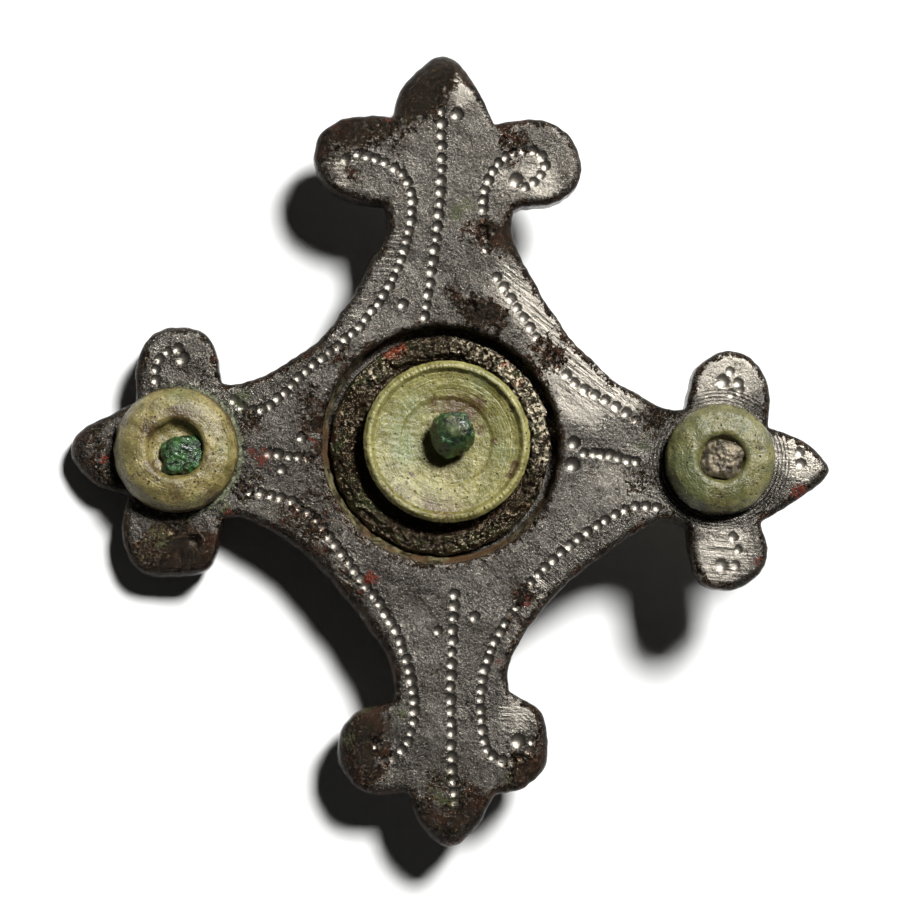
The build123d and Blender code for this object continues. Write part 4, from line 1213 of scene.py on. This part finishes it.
worn_tin = worn_tin_finish()
dark_bronze = dark_bronze_finish()
crusted_bronze = crusted_bronze_finish()
green_crust = green_crust_finish()
brown_rivet = brown_rivet_finish()
pale_bone = bone_finish("pale_bone", disc_middle, pale=(0.228, 0.208, 0.073), stained=(0.112, 0.102, 0.027),
                        brown=(0.072, 0.046, 0.017), green=(0.148, 0.168, 0.075), gloss=0.14)
yellow_bone = bone_finish("yellow_bone", left_middle, pale=(0.21, 0.173, 0.063), stained=(0.1, 0.082, 0.025),
                          brown=(0.05, 0.03, 0.01), green=(0.085, 0.098, 0.034), gloss=0.2)
olive_bone = bone_finish("olive_bone", right_middle, pale=(0.14, 0.128, 0.046), stained=(0.075, 0.075, 0.027),
                         brown=(0.035, 0.026, 0.01), green=(0.075, 0.085, 0.032), gloss=0.14)

plate()
hinge_lug()
catch()
pin()
seat_ring()
central_disc()
rivet("central_rivet_head", "central_rivet", green_crust, 101, disc_middle, seat=2.1,
      size=(2.85, 2.75, 2.55), turn=8, drift=(0.45, 0.85), foot_share=0.55, squareness=2.3, worn=1.0)
button("left_button_bone", "left_button", yellow_bone, 111, left_middle, radius=4.1, height=2.1,
       well=1.85, grooves=[(3.55, 0.05, 0.03), (2.6, 0.05, 0.015)], stains=LEFT_STAINS)
rivet("left_rivet_head", "left_rivet", green_crust, 121,
      (left_middle[0] + 0.35, left_middle[1] - 0.4), seat=3.27, size=(2.7, 2.45, 1.15), turn=4,
      drift=(0.05, -0.05), foot_share=0.9, squareness=3.6, worn=0.1)
button("right_button_bone", "right_button", olive_bone, 131, right_middle, radius=3.68,
       height=1.9, well=1.5, grooves=[(3.2, 0.05, 0.02), (2.4, 0.04, 0.012)], stains=RIGHT_STAINS)
rivet("right_rivet_head", "right_rivet", brown_rivet, 141, right_middle, seat=3.27,
      size=(2.75, 2.45, 1.05), turn=-6, drift=(0.08, 0.08), foot_share=0.9, squareness=3.4, worn=0.0)

# The floor
floor_size, floor_height = 2.0, cad_box[0][2]
corners = [(x * floor_size, y * floor_size, floor_height) for x, y in ((-1, -1), (1, -1), (1, 1), (-1, 1))]
floor_mesh = bpy.data.meshes.new("floor")
floor_mesh.from_pydata(corners, [], [(0, 1, 2, 3)])
white = Finish("white_floor")
white.shader.inputs["Base Color"].default_value = (0.58, 0.58, 0.57, 1)
white.shader.inputs["Roughness"].default_value = 0.9
floor_mesh.materials.append(white.material)
floor = bpy.data.objects.new("floor", floor_mesh)
bpy.context.scene.collection.objects.link(floor)


def look_from(thing, way, distance, spot):
    """Puts a light or the camera so far from a spot of the plate's frame, that way from it, with its -Z turned
    to the spot and the plate's y upwards."""
    back = np.array(way) / np.linalg.norm(way) @ plate_axes
    right = np.cross(plate_axes[1], back)
    right /= np.linalg.norm(right)
    stand = np.eye(4)
    stand[:3] = np.column_stack([right, np.cross(back, right), back, as_it_lies(spot) + back * distance])
    thing.matrix_world = Matrix(stand.tolist())


# A square soft light, up to the right
key = bpy.data.lights.new("key_light", "AREA")
key.size, key.energy = 0.3, 43
key_light = bpy.data.objects.new("key_light", key)
bpy.context.scene.collection.objects.link(key_light)
look_from(key_light, (0.85, 1.1, 1.6), 1.3, (0, 0, face))

# Dim overhead and lighter low down, as in a room with pale walls
world = bpy.data.worlds.new("studio")
world.use_nodes = True
nodes, links = world.node_tree.nodes, world.node_tree.links
nodes["Background"].inputs["Color"].default_value = (1, 1, 1, 1)
way_up = nodes.new("ShaderNodeSeparateXYZ")
links.new(nodes.new("ShaderNodeTexCoord").outputs["Generated"], way_up.inputs[0])
fading = nodes.new("ShaderNodeMapRange")
links.new(way_up.outputs["Z"], fading.inputs["Value"])
for socket, value in (("From Min", 0.1), ("From Max", 0.6), ("To Min", 0.12), ("To Max", 0.008)):
    fading.inputs[socket].default_value = value
links.new(fading.outputs[0], nodes["Background"].inputs["Strength"])
bpy.context.scene.world = world
bpy.context.scene.view_settings.view_transform = "Standard"

camera = bpy.data.objects.new("camera", bpy.data.cameras.new("camera"))
bpy.context.scene.collection.objects.link(camera)
camera.data.lens = 150
look_from(camera, (-0.035, -0.052, 1.0), 0.2465, (0.595, -0.33, face))
bpy.context.scene.camera = camera
